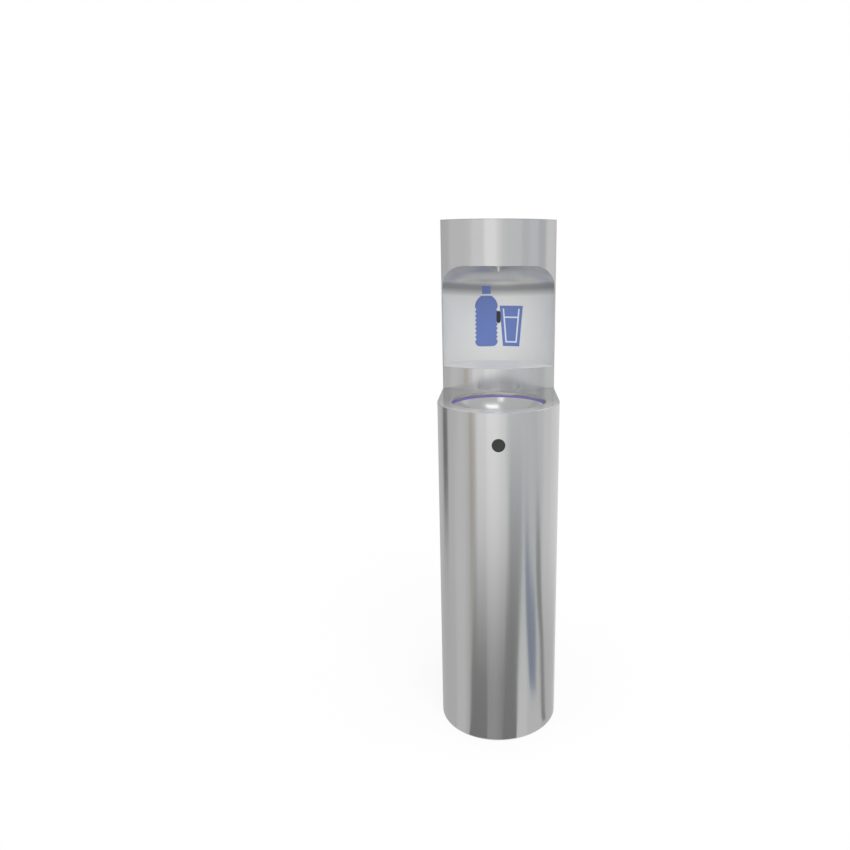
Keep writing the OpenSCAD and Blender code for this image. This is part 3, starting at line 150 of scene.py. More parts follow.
# The body's skin: two rolled shells, the bowed column front and its flat cap.
# Stainless sheet, 2 mm thick, satin-ground round the body, so that its grain lies level.
# The shells butt on each other at the sides, and the cap drops in on its skirt.
ground_grain = bpy.data.node_groups.new("ground_grain", "ShaderNodeTree")
grain_in, grain_out = group_ends(ground_grain, {"Along": 5.0, "Across": 900.0}, ("Scratch", "Cloud"))
grain_place = add_node(ground_grain, "TexCoord")
grain_scale = add_node(ground_grain, "CombineXYZ")
grain_stretch = add_node(ground_grain, "VectorMath", operation="MULTIPLY")
grain_scratch = set_inputs(add_node(ground_grain, "TexNoise"), Scale=1.0, Detail=3.0, Roughness=0.6)
grain_cloud = set_inputs(add_node(ground_grain, "TexNoise"), Scale=4.0, Detail=2.0)
for axis, source in (("X", "Along"), ("Y", "Along"), ("Z", "Across")):
    ground_grain.links.new(grain_in.outputs[source], grain_scale.inputs[axis])
ground_grain.links.new(grain_place.outputs["Object"], grain_stretch.inputs[0])
ground_grain.links.new(grain_scale.outputs[0], grain_stretch.inputs[1])
ground_grain.links.new(grain_stretch.outputs[0], grain_scratch.inputs["Vector"])
ground_grain.links.new(grain_place.outputs["Object"], grain_cloud.inputs["Vector"])
ground_grain.links.new(grain_scratch.outputs["Fac"], grain_out.inputs["Scratch"])
ground_grain.links.new(grain_cloud.outputs["Fac"], grain_out.inputs["Cloud"])


relief_height = 0.0002
sheet_edge_r = 0.0008
cloud_shade = 0.95
level_grain = 0.25


def add_relief(tree, surface, relief, depth, edge_r):
    bump = set_inputs(add_node(tree, "Bump"), Strength=depth, Distance=relief_height)
    tree.links.new(relief, bump.inputs["Height"])
    tree.links.new(soft_edge(tree, edge_r).outputs[0], bump.inputs["Normal"])
    tree.links.new(bump.outputs[0], surface.inputs["Normal"])


def ground_steel(name, tint, polish, scratches, scratch_depth, stretch, edge_r=sheet_edge_r):
    material, tree, surface = new_material(name)
    grain = set_inputs(add_node(tree, "Group", node_tree=ground_grain), Across=scratches)
    shade = [cloud_shade * channel for channel in tint]
    mixed_colour(tree, grain.outputs["Cloud"], shade, tint, surface.inputs["Base Color"])
    mapped_value(tree, grain.outputs["Scratch"], noise_ends, *polish, surface.inputs["Roughness"])
    add_relief(tree, surface, grain.outputs["Scratch"], scratch_depth, edge_r)
    set_inputs(surface, Metallic=1.0, Anisotropic=stretch, Anisotropic_Rotation=level_grain)
    return material, tree, surface


skin_tint = (0.64, 0.645, 0.64)
column_steel, _, _ = ground_steel("satin_column_steel", skin_tint, polish=(0.17, 0.19), scratches=900.0,
                                  scratch_depth=0.012, stretch=0.7)
skin_steel, _, _ = ground_steel("satin_skin_steel", skin_tint, polish=(0.2, 0.225), scratches=900.0,
                                scratch_depth=0.012, stretch=0.8)
dress(skin_steel, "front_shell", "rear_shell", "top_cap")
dress(column_steel, "column_front")


# The deck that the bowl hangs in, and the ledge that the bottle stands on.
# Laser-cut stainless plate, ground finer than the skin; the deck's rim is rolled into a collar.
# The ledge's top is bead-blasted, and its cut edge is painted darker, as painted shade on the faces that
# stand upright.
def object_axes(tree):
    place = add_node(tree, "TexCoord")
    axes = add_node(tree, "SeparateXYZ")
    tree.links.new(place.outputs["Object"], axes.inputs[0])
    return axes


# Paints a part lighter towards its front, up to painted_highlight_tint: a painted highlight, coloured as if
# the front caught more light.
def paint_front_highlight(material_parts, painted_highlight_tint, fade):
    _, tree, surface = material_parts
    ground_tone = surface.inputs["Base Color"].links[0].from_socket
    axes = object_axes(tree)
    highlight_mix = mixed_colour(tree, axes.outputs["Y"], painted_highlight_tint, painted_highlight_tint, surface.inputs["Base Color"])
    tree.links.new(ground_tone, highlight_mix.inputs[mix_low])
    mapped_value(tree, axes.outputs["Y"], fade, 0.0, 1.0, highlight_mix.inputs["Factor"])


deck_tint = (0.57, 0.575, 0.57)
# The deck's front strip along the rim is painted much lighter, as a painted highlight.
deck_painted_highlight_tint = (0.95, 0.95, 0.94)
deck_highlight_fade = (-0.085, -0.215)
deck_edge_r = 0.006
plate_parts = ground_steel("fine_plate_steel", deck_tint, polish=(0.1, 0.13), scratches=1300.0,
                           scratch_depth=0.02, stretch=0.0, edge_r=deck_edge_r)
plate_steel = plate_parts[0]
paint_front_highlight(plate_parts, deck_painted_highlight_tint, deck_highlight_fade)
ledge_tint = (0.82, 0.825, 0.82)
cut_edge_painted_shade_tint = (0.66, 0.66, 0.66)
ledge_parts = ground_steel("blasted_ledge_steel", ledge_tint, polish=(0.4, 0.5), scratches=700.0,
                           scratch_depth=0.05, stretch=0.0)
ledge_steel, ledge_tree, ledge_surface = ledge_parts
set_inputs(ledge_surface, Metallic=0.35)
ledge_tone = ledge_surface.inputs["Base Color"].links[0].from_socket
ledge_face = add_node(ledge_tree, "NewGeometry")
ledge_axes = add_node(ledge_tree, "SeparateXYZ")
ledge_tree.links.new(ledge_face.outputs["Normal"], ledge_axes.inputs[0])
facing_shade_mask = ledge_axes.outputs["Z"]
# Painted shade: the more upright a face of the ledge stands, the darker its colour, down to the cut edge's
# tint.
ledge_shade_mix = mixed_colour(ledge_tree, facing_shade_mask, cut_edge_painted_shade_tint, ledge_tint,
                         ledge_surface.inputs["Base Color"])
ledge_tree.links.new(ledge_tone, ledge_shade_mix.inputs[mix_high])
dress(plate_steel, "basin_deck")
dress(ledge_steel, "bottle_ledge")


# The bowl with its strainer and waste: spun stainless, polished inside.
# The bowl hangs from the deck on four clamps, and the strainer is screwed to the waste.
bowl_tint = (0.74, 0.745, 0.745)
# The bowl's front half is painted lighter than its rear, as a painted highlight.
bowl_painted_highlight_tint = (0.95, 0.95, 0.95)
bowl_highlight_fade = (-0.1, -0.18)
bowl_parts = ground_steel("mirror_bowl_steel", bowl_tint, polish=(0.2, 0.24), scratches=1500.0,
                          scratch_depth=0.01, stretch=0.0)
bowl_steel = bowl_parts[0]
paint_front_highlight(bowl_parts, bowl_painted_highlight_tint, bowl_highlight_fade)
plated = flaked_metal("zinc_plated_fitting", dark=(0.55, 0.56, 0.56), light=(0.62, 0.63, 0.62),
                      flakes_per_metre=260.0, polish=(0.25, 0.4))
dress(bowl_steel, "bowl", "waste_body", "strainer_grid", "strainer_screw")
dress(plated, "clamp_studs", "clamp_plates", "clamp_nuts")


# The light under the bowl's rim: a frosted acrylic ring, and a strip of lamps in white plastic behind it.
# The ring lies on the bowl's flange, under the deck's collar, and glows violet.
lamp_count = 72
dim_glow = (0.075, 0.05, 0.22)
bright_glow = (0.1, 0.065, 0.28)
dim_frost = (0.12, 0.09, 0.24)
bright_frost = (0.16, 0.12, 0.3)
ring_low, ring_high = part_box("light_ring")
light_ring, light_tree, light_surface = new_material("violet_light_ring")
light_place = add_node(light_tree, "TexCoord")
light_centre = add_node(light_tree, "Mapping")
light_centre.inputs["Location"].default_value[1] = -(ring_low.y + ring_high.y) / 2
light_axes = add_node(light_tree, "SeparateXYZ")
light_angle = add_node(light_tree, "Math", operation="ARCTAN2")
light_count = add_node(light_tree, "Math", operation="MULTIPLY")
light_count.inputs[1].default_value = lamp_count
light_wave = add_node(light_tree, "Math", operation="SINE")
light_spot = set_inputs(add_node(light_tree, "MapRange"), From_Min=-1.0)
light_tree.links.new(light_place.outputs["Object"], light_centre.inputs["Vector"])
light_tree.links.new(light_centre.outputs[0], light_axes.inputs[0])
light_tree.links.new(light_axes.outputs["X"], light_angle.inputs[0])
light_tree.links.new(light_axes.outputs["Y"], light_angle.inputs[1])
light_tree.links.new(light_angle.outputs[0], light_count.inputs[0])
light_tree.links.new(light_count.outputs[0], light_wave.inputs[0])
light_tree.links.new(light_wave.outputs[0], light_spot.inputs["Value"])
mixed_colour(light_tree, light_spot.outputs[0], dim_glow, bright_glow, light_surface.inputs["Emission Color"])
mixed_colour(light_tree, light_spot.outputs[0], dim_frost, bright_frost, light_surface.inputs["Base Color"])
set_inputs(light_surface, Roughness=0.5, Emission_Strength=0.8)
dress(light_ring, "light_ring")


moulding_grain = bpy.data.node_groups.new("moulding_texture", "ShaderNodeTree")
moulding_in, moulding_out = group_ends(moulding_grain, {"Grains per metre": 900.0}, ("Spark", "Flow"))
moulding_place = add_node(moulding_grain, "TexCoord")
moulding_spark = set_inputs(add_node(moulding_grain, "TexNoise"), Detail=2.0)
moulding_flow = set_inputs(add_node(moulding_grain, "TexNoise"), Scale=7.0, Detail=2.0)
moulding_grain.links.new(moulding_place.outputs["Object"], moulding_spark.inputs["Vector"])
moulding_grain.links.new(moulding_place.outputs["Object"], moulding_flow.inputs["Vector"])
moulding_grain.links.new(moulding_in.outputs["Grains per metre"], moulding_spark.inputs["Scale"])
moulding_grain.links.new(moulding_spark.outputs["Fac"], moulding_out.inputs["Spark"])
moulding_grain.links.new(moulding_flow.outputs["Fac"], moulding_out.inputs["Flow"])


def moulded(name, dark, light, polish, grains, spark_depth, edge_r=sheet_edge_r):
    material, tree, surface = new_material(name)
    grain = set_inputs(add_node(tree, "Group", node_tree=moulding_grain), Grains_per_metre=grains)
    mixed_colour(tree, grain.outputs["Flow"], dark, light, surface.inputs["Base Color"])
    mapped_value(tree, grain.outputs["Flow"], noise_ends, *polish, surface.inputs["Roughness"])
    add_relief(tree, surface, grain.outputs["Spark"], spark_depth, edge_r)
    return material


white_plastic = moulded("white_moulding", dark=(0.72, 0.72, 0.69), light=(0.79, 0.79, 0.77),
                        polish=(0.3, 0.38), grains=700.0, spark_depth=0.1)
dress(white_plastic, "led_strip")


# The alcove's liner: one deep-drawn stainless pressing, wall and ceiling in a piece.
# The wall is bead-blasted. The round over it is painted dark, as painted shade under the ceiling, and the
# ceiling is ground bright and buffed in its middle. The finishes and the painted shade meet on oval lines,
# which rise towards the sides.
blast_and_shade_fade = (1.15, 1.172)
polish_fade = (1.176, 1.2)
shade_end_fade = (1.181, 1.191)
oval_rise = 0.4
buffed_half = 0.09
buffed_fade = (0.0, buffed_half ** 2)
blasted_polish = 0.5
buffed_polish = 0.18
ground_polish = 0.26
blasted_shine = 0.35
buffed_shine = 0.68
ground_shine = 0.45
wall_tint = (0.77, 0.775, 0.77)
painted_shade_tint = (0.34, 0.34, 0.35)
ceiling_tint = (0.61, 0.61, 0.61)
liner_parts = ground_steel("drawn_liner_steel_painted_shade", wall_tint, polish=(blasted_polish, blasted_polish),
                           scratches=700.0, scratch_depth=0.0, stretch=0.0)
liner_steel, liner_tree, liner_surface = liner_parts
blasted_tone = liner_surface.inputs["Base Color"].links[0].from_socket
liner_axes = object_axes(liner_tree)
liner_side = add_node(liner_tree, "Math", operation="MULTIPLY")
liner_oval = add_node(liner_tree, "Math", operation="MULTIPLY_ADD")
liner_oval.inputs[1].default_value = -oval_rise
liner_tree.links.new(liner_axes.outputs["X"], liner_side.inputs[0])
liner_tree.links.new(liner_axes.outputs["X"], liner_side.inputs[1])
liner_tree.links.new(liner_side.outputs[0], liner_oval.inputs[0])
liner_tree.links.new(liner_axes.outputs["Z"], liner_oval.inputs[2])
liner_height = liner_oval.outputs[0]
liner_polish = add_node(liner_tree, "Math", operation="MAXIMUM")
mapped_value(liner_tree, liner_height, polish_fade, blasted_polish, buffed_polish, liner_polish.inputs[0])
mapped_value(liner_tree, liner_side.outputs[0], buffed_fade, buffed_polish, ground_polish,
             liner_polish.inputs[1])
liner_tree.links.new(liner_polish.outputs[0], liner_surface.inputs["Roughness"])
liner_shine = add_node(liner_tree, "Math", operation="MINIMUM")
mapped_value(liner_tree, liner_height, blast_and_shade_fade, blasted_shine, buffed_shine, liner_shine.inputs[0])
mapped_value(liner_tree, liner_side.outputs[0], buffed_fade, buffed_shine, ground_shine,
             liner_shine.inputs[1])
liner_tree.links.new(liner_shine.outputs[0], liner_surface.inputs["Metallic"])
# Painted shade: the round between the wall and the ceiling is painted dark, a band that shades into the
# ceiling's tint above.
shade_end_mix = mixed_colour(liner_tree, liner_height, painted_shade_tint, ceiling_tint,
                          liner_surface.inputs["Base Color"])
painted_shade_mix = mixed_colour(liner_tree, liner_height, wall_tint, painted_shade_tint, shade_end_mix.inputs[mix_low])
liner_tree.links.new(blasted_tone, painted_shade_mix.inputs[mix_low])
mapped_value(liner_tree, liner_height, blast_and_shade_fade, 0.0, 1.0, painted_shade_mix.inputs["Factor"])
mapped_value(liner_tree, liner_height, shade_end_fade, 0.0, 1.0, shade_end_mix.inputs["Factor"])
dress(liner_steel, "alcove_liner")


# The signs on the alcove's wall: a bottle and a glass, which say what the alcove is for.
# Blue film, cut to shape and stuck on the steel, with pale lines laid over the glass.
crease_angle = math.radians(35)


def mesh_object(mesh, name, material):
    data = bpy.data.meshes.new(name)
    mesh.to_mesh(data)
    mesh.free()
    data.materials.append(material)
    made = bpy.data.objects.new(name, data)
    bpy.context.scene.collection.objects.link(made)
    return made


def finish_piece(mesh, name, material, body):
    bmesh.ops.recalc_face_normals(mesh, faces=mesh.faces[:])
    for face in mesh.faces:
        face.smooth = True
    piece = mesh_object(mesh, name, material)
    piece.data.set_sharp_from_angle(angle=crease_angle)
    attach(piece, body)
    return piece


wall_radius = 0.17029
wall_sheet = 0.0015
wall_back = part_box("alcove_liner")[1].y - wall_sheet
ceiling_fillet = 0.068
fillet_foot = 1.172
film_thickness = 0.00015
film_edge_r = film_thickness / 4
film_columns = 12


# A film reaches from low to high, and middle and half_width give its line and its width at a height.
def cut_film(mesh, low, high, middle, half_width, rows, lift):
    film = bmesh.ops.create_grid(mesh, x_segments=film_columns, y_segments=rows, size=1.0)["verts"]
    for vert in film:
        height = low + (high - low) * (vert.co.y + 1) / 2
        across = middle(height) + half_width(height) * vert.co.x
        rise = max(0, height - fillet_foot)
        inset = ceiling_fillet - math.sqrt(ceiling_fillet ** 2 - rise ** 2)
        depth = math.sqrt((wall_radius - lift - inset) ** 2 - across ** 2)
        vert.co = (across, wall_back - wall_radius + depth, height)
    faces = list({face for vert in film for face in vert.link_faces})
    mesh.normal_update()
    bmesh.ops.solidify(mesh, geom=faces, thickness=film_thickness)


bottle_middle = -0.036
bottle_half = 0.0335
bottle_foot = 1.004
bottle_corner = 0.016
bottle_shoulder = 1.12
bottle_neck = 1.1535
bottle_neck_half = 0.0152
shoulder_curve = 2.4
rib_pitch = 0.0125
rib_depth = 0.004
rib_rows = 120
cap_foot = 1.159
cap_top = 1.182
cap_half = 0.0127
cap_rows = 12


def bottle_width(height):
    if height < bottle_foot + bottle_corner:
        drop = 1 - (height - bottle_foot) / bottle_corner
        return bottle_half - bottle_corner * (1 - math.sqrt(1 - drop * drop))
    if height < bottle_shoulder:
        wave = math.cos(2 * math.pi * (height - bottle_shoulder) / rib_pitch)
        return bottle_half - rib_depth * (1 - wave) / 2
    rise = (height - bottle_shoulder) / (bottle_neck - bottle_shoulder)
    return bottle_half - (bottle_half - bottle_neck_half) * rise ** shoulder_curve


glass_middle = 0.0375
glass_foot = 1.0045
glass_top = 1.1245
glass_foot_half = 0.0243
glass_top_half = 0.0342
glass_rows = 2


def glass_width(height):
    rise = (height - glass_foot) / (glass_top - glass_foot)
    return glass_foot_half + (glass_top_half - glass_foot_half) * rise


sign_mesh = bmesh.new()
cut_film(sign_mesh, bottle_foot, bottle_neck, lambda z: bottle_middle, bottle_width, rib_rows, film_thickness)
cut_film(sign_mesh, cap_foot, cap_top, lambda z: bottle_middle, lambda z: cap_half, cap_rows, film_thickness)
cut_film(sign_mesh, glass_foot, glass_top, lambda z: glass_middle, glass_width, glass_rows, film_thickness)
sign_blue = moulded("blue_sign_film", dark=(0.115, 0.18, 0.46), light=(0.13, 0.2, 0.5), polish=(0.4, 0.5),
                    grains=2000.0, spark_depth=0.03, edge_r=film_edge_r)
finish_piece(sign_mesh, "bottle_and_glass_sign", sign_blue, "root")

line_half = 0.0021
line_inset = 0.0105
water_height = 1.0905
line_foot = 1.0175
line_top = 1.116
line_lift = 2 * film_thickness
upright_rows = 4
level_rows = 2
line_mesh = bmesh.new()
for side in (-1, 1):
    cut_film(line_mesh, line_foot, line_top,
             lambda z: glass_middle + side * (glass_width(z) - line_inset), lambda z: line_half,
             upright_rows, line_lift)
for height in (line_foot, water_height):
    cut_film(line_mesh, height - line_half, height + line_half,
             lambda z: glass_middle, lambda z: glass_width(z) - line_inset + line_half,
             level_rows, line_lift)
sign_pale = moulded("pale_sign_film", dark=(0.66, 0.72, 0.84), light=(0.7, 0.76, 0.88), polish=(0.4, 0.5),
                    grains=2000.0, spark_depth=0.03, edge_r=film_edge_r)
finish_piece(line_mesh, "glass_sign_lines", sign_pale, "root")


# The filler's outlet in the ceiling, turned from stainless bar, and the sensor under it.
# The sensor looks out through a window of smoked plastic, pressed into the liner.
outlet_tint = (0.61, 0.61, 0.61)
outlet_steel, _, _ = ground_steel("turned_outlet_steel", outlet_tint, polish=(0.1, 0.16), scratches=1100.0,
                                  scratch_depth=0.02, stretch=0.5)
small_edge_r = 0.0002
smoked = moulded("smoked_sensor_window", dark=(0.014, 0.0135, 0.01), light=(0.02, 0.019, 0.014),
                 polish=(0.3, 0.35), grains=1500.0, spark_depth=0.02, edge_r=small_edge_r)
rubber = moulded("black_seal_rubber", dark=(0.018, 0.018, 0.018), light=(0.03, 0.03, 0.03),
                 polish=(0.6, 0.75), grains=600.0, spark_depth=0.2)
black_plastic = moulded("black_moulding", dark=(0.018, 0.018, 0.019), light=(0.026, 0.026, 0.027),
                        polish=(0.4, 0.5), grains=900.0, spark_depth=0.25)
brass = flaked_metal("turned_brass", dark=(0.52, 0.37, 0.15), light=(0.6, 0.44, 0.19),
                     flakes_per_metre=320.0, polish=(0.2, 0.32))
dress(outlet_steel, "nozzle")
dress(rubber, "nozzle_seal")
dress(brass, "nozzle_nut")
dress(smoked, "sensor_window")
dress(black_plastic, "sensor_body", "sensor_cable")


# The push button and what works behind it: a guide, a return spring and a switch.
# The button is moulded in a dark satin plastic, with its edge rounded and its face dished.
button_low, button_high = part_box("push_button")
button_middle = (button_low.z + button_high.z) / 2
button_r = 0.01625
button_head = 0.007
button_edge = 0.0015
button_dish = 0.0008
shoulder_r = (button_high.z - button_low.z) / 2
shoulder_t = 0.002
stem_r = 0.0045
dish_steps = 4
edge_steps = 6
button_sides = 64
weld_distance = 1e-6
dish_r = button_r - 2 * button_edge
button_profile = [(share * dish_r, button_dish * (1 - share ** 2))
                  for share in [step / dish_steps for step in range(dish_steps + 1)]]
button_profile += [(button_r - button_edge, 0)]
button_profile += [(button_r - button_edge * (1 - math.sin(turn)), button_edge * (1 - math.cos(turn)))
                   for turn in [math.pi / 2 * step / edge_steps for step in range(1, edge_steps + 1)]]
button_profile += [(button_r, button_head), (shoulder_r, button_head),
                   (shoulder_r, button_head + shoulder_t), (stem_r, button_head + shoulder_t),
                   (stem_r, button_high.y - button_low.y), (0, button_high.y - button_low.y)]
button_mesh = bmesh.new()
button_line = [button_mesh.verts.new((radius, button_low.y + depth, button_middle))
               for radius, depth in button_profile]
button_edges = [button_mesh.edges.new(pair) for pair in zip(button_line, button_line[1:])]
bmesh.ops.spin(button_mesh, geom=button_line + button_edges, cent=(0, 0, button_middle), axis=(0, 1, 0),
               angle=2 * math.pi, steps=button_sides, use_merge=True)
bmesh.ops.remove_doubles(button_mesh, verts=button_mesh.verts[:], dist=weld_distance)
button_dark = moulded("dark_button", dark=(0.013, 0.015, 0.014), light=(0.02, 0.023, 0.021),
                      polish=(0.38, 0.48), grains=1200.0, spark_depth=0.1, edge_r=small_edge_r)
button = finish_piece(button_mesh, "round_push_button", button_dark, "button")
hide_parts("push_button")

spring_low, spring_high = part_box("button_spring")
spring_length = spring_high.y - spring_low.y
wire_r = 0.00075
wire_sides = 12
coil_r = (spring_high.x - spring_low.x) / 2 - wire_r
coil_turns = 4
coil_steps = 80
spring_mesh = bmesh.new()
wire = bmesh.ops.create_circle(spring_mesh, segments=wire_sides, radius=wire_r)["verts"]
bmesh.ops.translate(spring_mesh, vec=(coil_r, spring_low.y + wire_r, button_middle), verts=wire)
bmesh.ops.spin(spring_mesh, geom=wire + spring_mesh.edges[:], cent=(0, 0, button_middle), axis=(0, 1, 0),
               dvec=(0, (spring_length - 2 * wire_r) / coil_steps, 0), angle=2 * math.pi * coil_turns,
               steps=coil_steps)
bmesh.ops.holes_fill(spring_mesh, edges=[edge for edge in spring_mesh.edges if edge.is_boundary])
spring = finish_piece(spring_mesh, "coiled_button_spring", plated, "root")
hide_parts("button_spring")
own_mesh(spring)
grey_plastic = moulded("grey_moulding", dark=(0.2, 0.21, 0.22), light=(0.24, 0.25, 0.26),
                       polish=(0.45, 0.55), grains=900.0, spark_depth=0.25)
dress(grey_plastic, "button_housing")
dress(black_plastic, "button_switch")


# The service door in the back, with its frame, hinges, cam lock and strike.
# The door is rolled from the skin's sheet, and the hinges are screwed on outside.
dress(skin_steel, "service_door")
dress(galvanised, "door_frame")
hinge_zinc = flaked_metal("tumbled_hinge_zinc", dark=(0.3, 0.3, 0.31), light=(0.38, 0.38, 0.39),
                          flakes_per_metre=260.0, polish=(0.3, 0.42))
dress(hinge_zinc, "hinge_fixed_leaves", "hinge_door_leaves", "lock_barrel")
dress(plated, "hinge_pins", "lock_nut", "lock_cam", "strike_plate")
head_r = 0.0034
head_h = 0.0016
drive_r = 0.0017
drive_floor = 0.0005
head_sides = 24
dome_steps = 5
head_weld = 1e-7
drive_corner = math.pi / 6


# A domed head with a six-sided drive sunk into it.
def screw_head(mesh, place, outward):
    others = set(mesh.verts)
    dome = [(drive_r + (head_r - drive_r) * math.sin(turn), head_h * math.cos(turn))
            for turn in [math.pi / 2 * step / dome_steps for step in range(dome_steps + 1)]]
    outline = [(0, drive_floor), (drive_r, drive_floor), *dome, (0, 0)]
    line = [mesh.verts.new((radius, 0, height)) for radius, height in outline]
    edges = [mesh.edges.new(pair) for pair in zip(line, line[1:])]
    bmesh.ops.spin(mesh, geom=line + edges, cent=(0, 0, 0), axis=(0, 0, 1), angle=2 * math.pi,
                   steps=head_sides, use_merge=True)
    bmesh.ops.remove_doubles(mesh, verts=[vert for vert in mesh.verts if vert not in others], dist=head_weld)
    head = [vert for vert in mesh.verts if vert not in others]
    for vert in head:
        if abs(vert.co.xy.length - drive_r) < weld_distance:
            corner = math.atan2(vert.co.y, vert.co.x) % (2 * drive_corner) - drive_corner
            vert.co.xy *= math.cos(drive_corner) / math.cos(corner)
    turn = Vector((0, 0, 1)).rotation_difference(Vector(outward)).to_matrix().to_4x4()
    bmesh.ops.transform(mesh, matrix=Matrix.Translation(place) @ turn, verts=head)


def screws(name, places, body):
    mesh = bmesh.new()
    for place, outward in places:
        screw_head(mesh, place, outward)
    return finish_piece(mesh, name, plated, body)


rear_axis_y = 0.098
leaf_face_r = 0.162
hinge_heights = (0.23, 0.67)
screw_rise = 0.02
shell_leaf_angle = math.radians(50.9)
door_leaf_angle = math.radians(40.4)


def leaf_screws(angle):
    outward = Vector((-math.sin(angle), math.cos(angle), 0))
    foot = Vector((0, rear_axis_y, 0)) + leaf_face_r * outward
    return [(foot + Vector((0, 0, height + rise)), outward)
            for height in hinge_heights for rise in (-screw_rise, screw_rise)]


screws("hinge_shell_screws", leaf_screws(shell_leaf_angle), "root")
screws("hinge_door_screws", leaf_screws(door_leaf_angle), "door")


# The drain under the bowl: the waste's gasket and nut, a bottle trap and a pipe down to the floor.
# Injection-moulded white plastic with hand-tight rings and push-in joints, a rubber gasket and a brass nut.
dress(rubber, "waste_gasket")
dress(brass, "waste_nut")
dress(white_plastic, "trap_body", "trap_cup", "waste_pipe")


# The water line: stop valve, filter, solenoid valve and the push-fit tubes between them.
# Brass turned and milled from bar, a red dipped lever, white filter and blue tube.
# The filter hangs from a folded bracket, which is screwed to the mounting panel.
tube_plastic = moulded("blue_water_tube", dark=(0.05, 0.15, 0.42), light=(0.07, 0.19, 0.5),
                       polish=(0.22, 0.3), grains=500.0, spark_depth=0.05)
lever_red = moulded("dipped_red_lever", dark=(0.42, 0.03, 0.02), light=(0.52, 0.05, 0.03),
                    polish=(0.3, 0.4), grains=400.0, spark_depth=0.15)
dress(brass, "stop_valve", "solenoid_valve")
dress(lever_red, "valve_lever")
dress(grey_plastic, "valve_clip")
dress(galvanised, "filter_bracket")
dress(white_plastic, "filter_head", "filter_cartridge")
dress(black_plastic, "solenoid_coil")
dress(tube_plastic, "supply_tube", "filter_link_tube", "riser_tube")
bracket_low, bracket_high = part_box("filter_bracket")
bracket_sheet = 0.003
bracket_screw_inset = 0.015
screws("filter_bracket_screws",
       [(Vector((across, bracket_low.y + bracket_sheet, bracket_high.z - bracket_screw_inset)), (0, 1, 0))
        for across in (bracket_low.x + bracket_screw_inset, bracket_high.x - bracket_screw_inset)], "root")


# The control box on the mounting panel, with its lid and the gland for the supply cable.
# Moulded plastic, the lid held by a screw in each corner.
dress(grey_plastic, "control_box")
dress(white_plastic, "control_lid")
dress(black_plastic, "cable_gland")
lid_low, lid_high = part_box("control_lid")
lid_inset = 0.009
screws("control_lid_screws",
       [(Vector((across, lid_high.y, height)), (0, 1, 0))
        for across in (lid_low.x + lid_inset, lid_high.x - lid_inset)
        for height in (lid_low.z + lid_inset, lid_high.z - lid_inset)], "root")


# The studio: a white floor and world, with a faint shadow under the dispenser.
# What the eye or the steel sees of them is white, and what they light is a little less.
def seen_directly(tree):
    path = add_node(tree, "LightPath")
    camera_or_gloss = add_node(tree, "Math", operation="MAXIMUM")
    seen = add_node(tree, "Math", operation="MAXIMUM")
    tree.links.new(path.outputs["Is Camera Ray"], camera_or_gloss.inputs[0])
    tree.links.new(path.outputs["Is Glossy Ray"], camera_or_gloss.inputs[1])
    tree.links.new(camera_or_gloss.outputs[0], seen.inputs[0])
    tree.links.new(path.outputs["Is Transmission Ray"], seen.inputs[1])
    return seen.outputs[0]


room_light = 0.9
shadow_share = 0.15
shadow_fade = (0.5, 1.6)
floor_half = 40
world = bpy.data.worlds.new("studio_world")
bpy.context.scene.world = world
world.use_nodes = True
sky = set_inputs(world.node_tree.nodes["Background"], Color=(1, 1, 1, 1))
mapped_value(world.node_tree, seen_directly(world.node_tree), (0, 1), room_light, 1.0, sky.inputs["Strength"])

floor_white, floor_tree, floor_surface = new_material("white_floor")
set_inputs(floor_surface, Base_Color=(1, 1, 1, 1), Roughness=1.0, Specular_IOR_Level=0.0)
floor_glow = add_node(floor_tree, "Emission")
floor_mix = add_node(floor_tree, "MixShader")
floor_place = add_node(floor_tree, "TexCoord")
floor_distance = add_node(floor_tree, "VectorMath", operation="LENGTH")
floor_seen = add_node(floor_tree, "Math", operation="MULTIPLY")
floor_tree.links.new(floor_place.outputs["Object"], floor_distance.inputs[0])
mapped_value(floor_tree, floor_distance.outputs["Value"], shadow_fade, 1 - shadow_share, 1.0,
             floor_seen.inputs[0])
floor_tree.links.new(seen_directly(floor_tree), floor_seen.inputs[1])
floor_tree.links.new(floor_seen.outputs[0], floor_mix.inputs["Fac"])
floor_tree.links.new(floor_surface.outputs[0], floor_mix.inputs[1])
floor_tree.links.new(floor_glow.outputs[0], floor_mix.inputs[2])
floor_tree.links.new(floor_mix.outputs[0], floor_tree.nodes["Material Output"].inputs["Surface"])
floor_mesh = bmesh.new()
bmesh.ops.create_grid(floor_mesh, x_segments=1, y_segments=1, size=floor_half)
floor = mesh_object(floor_mesh, "studio_floor", floor_white)


# The studio's flats: strips of paper that run over the floor and up the wall, all round, where only the
# steel sees them, as the streaks that run up the body. Each strip begins at an angle from the camera's side,
# given at its foot, further out and, where it turns, up the wall, and it ends at the next one.
floor_rows = (0, 0.3, 0.6, 0.9, 1.2, 1.7, 2.3, 3.0)
flat_reach = floor_rows[-1]
lean_reach = 1.1
flat_h = 3.2
foot_h = 0.25
sill_h = 0.46
high_h = 0.8
sill_lift = 1.25
sill_front = 48
flat_lift = 0.002
body_r = 0.16
front_axis = Vector((0, -rear_axis_y, 0))
degrees_per_face = 4


def grey(level):
    return Vector((level, level, level))


flat_material, flat_tree, _ = new_material("studio_flat")
flat_shade = add_node(flat_tree, "Attribute", attribute_name="shade")
flat_glow = add_node(flat_tree, "Emission")
flat_tree.links.new(flat_shade.outputs["Color"], flat_glow.inputs["Color"])
flat_tree.links.new(flat_glow.outputs[0], flat_tree.nodes["Material Output"].inputs["Surface"])


def heading(angle):
    return Vector((math.sin(angle), -math.cos(angle), 0))


def hang_flat(name, mesh):
    flat = mesh_object(mesh, name, flat_material)
    flat.visible_camera = False
    flat.visible_diffuse = False
    flat.visible_transmission = False
    flat.visible_shadow = False


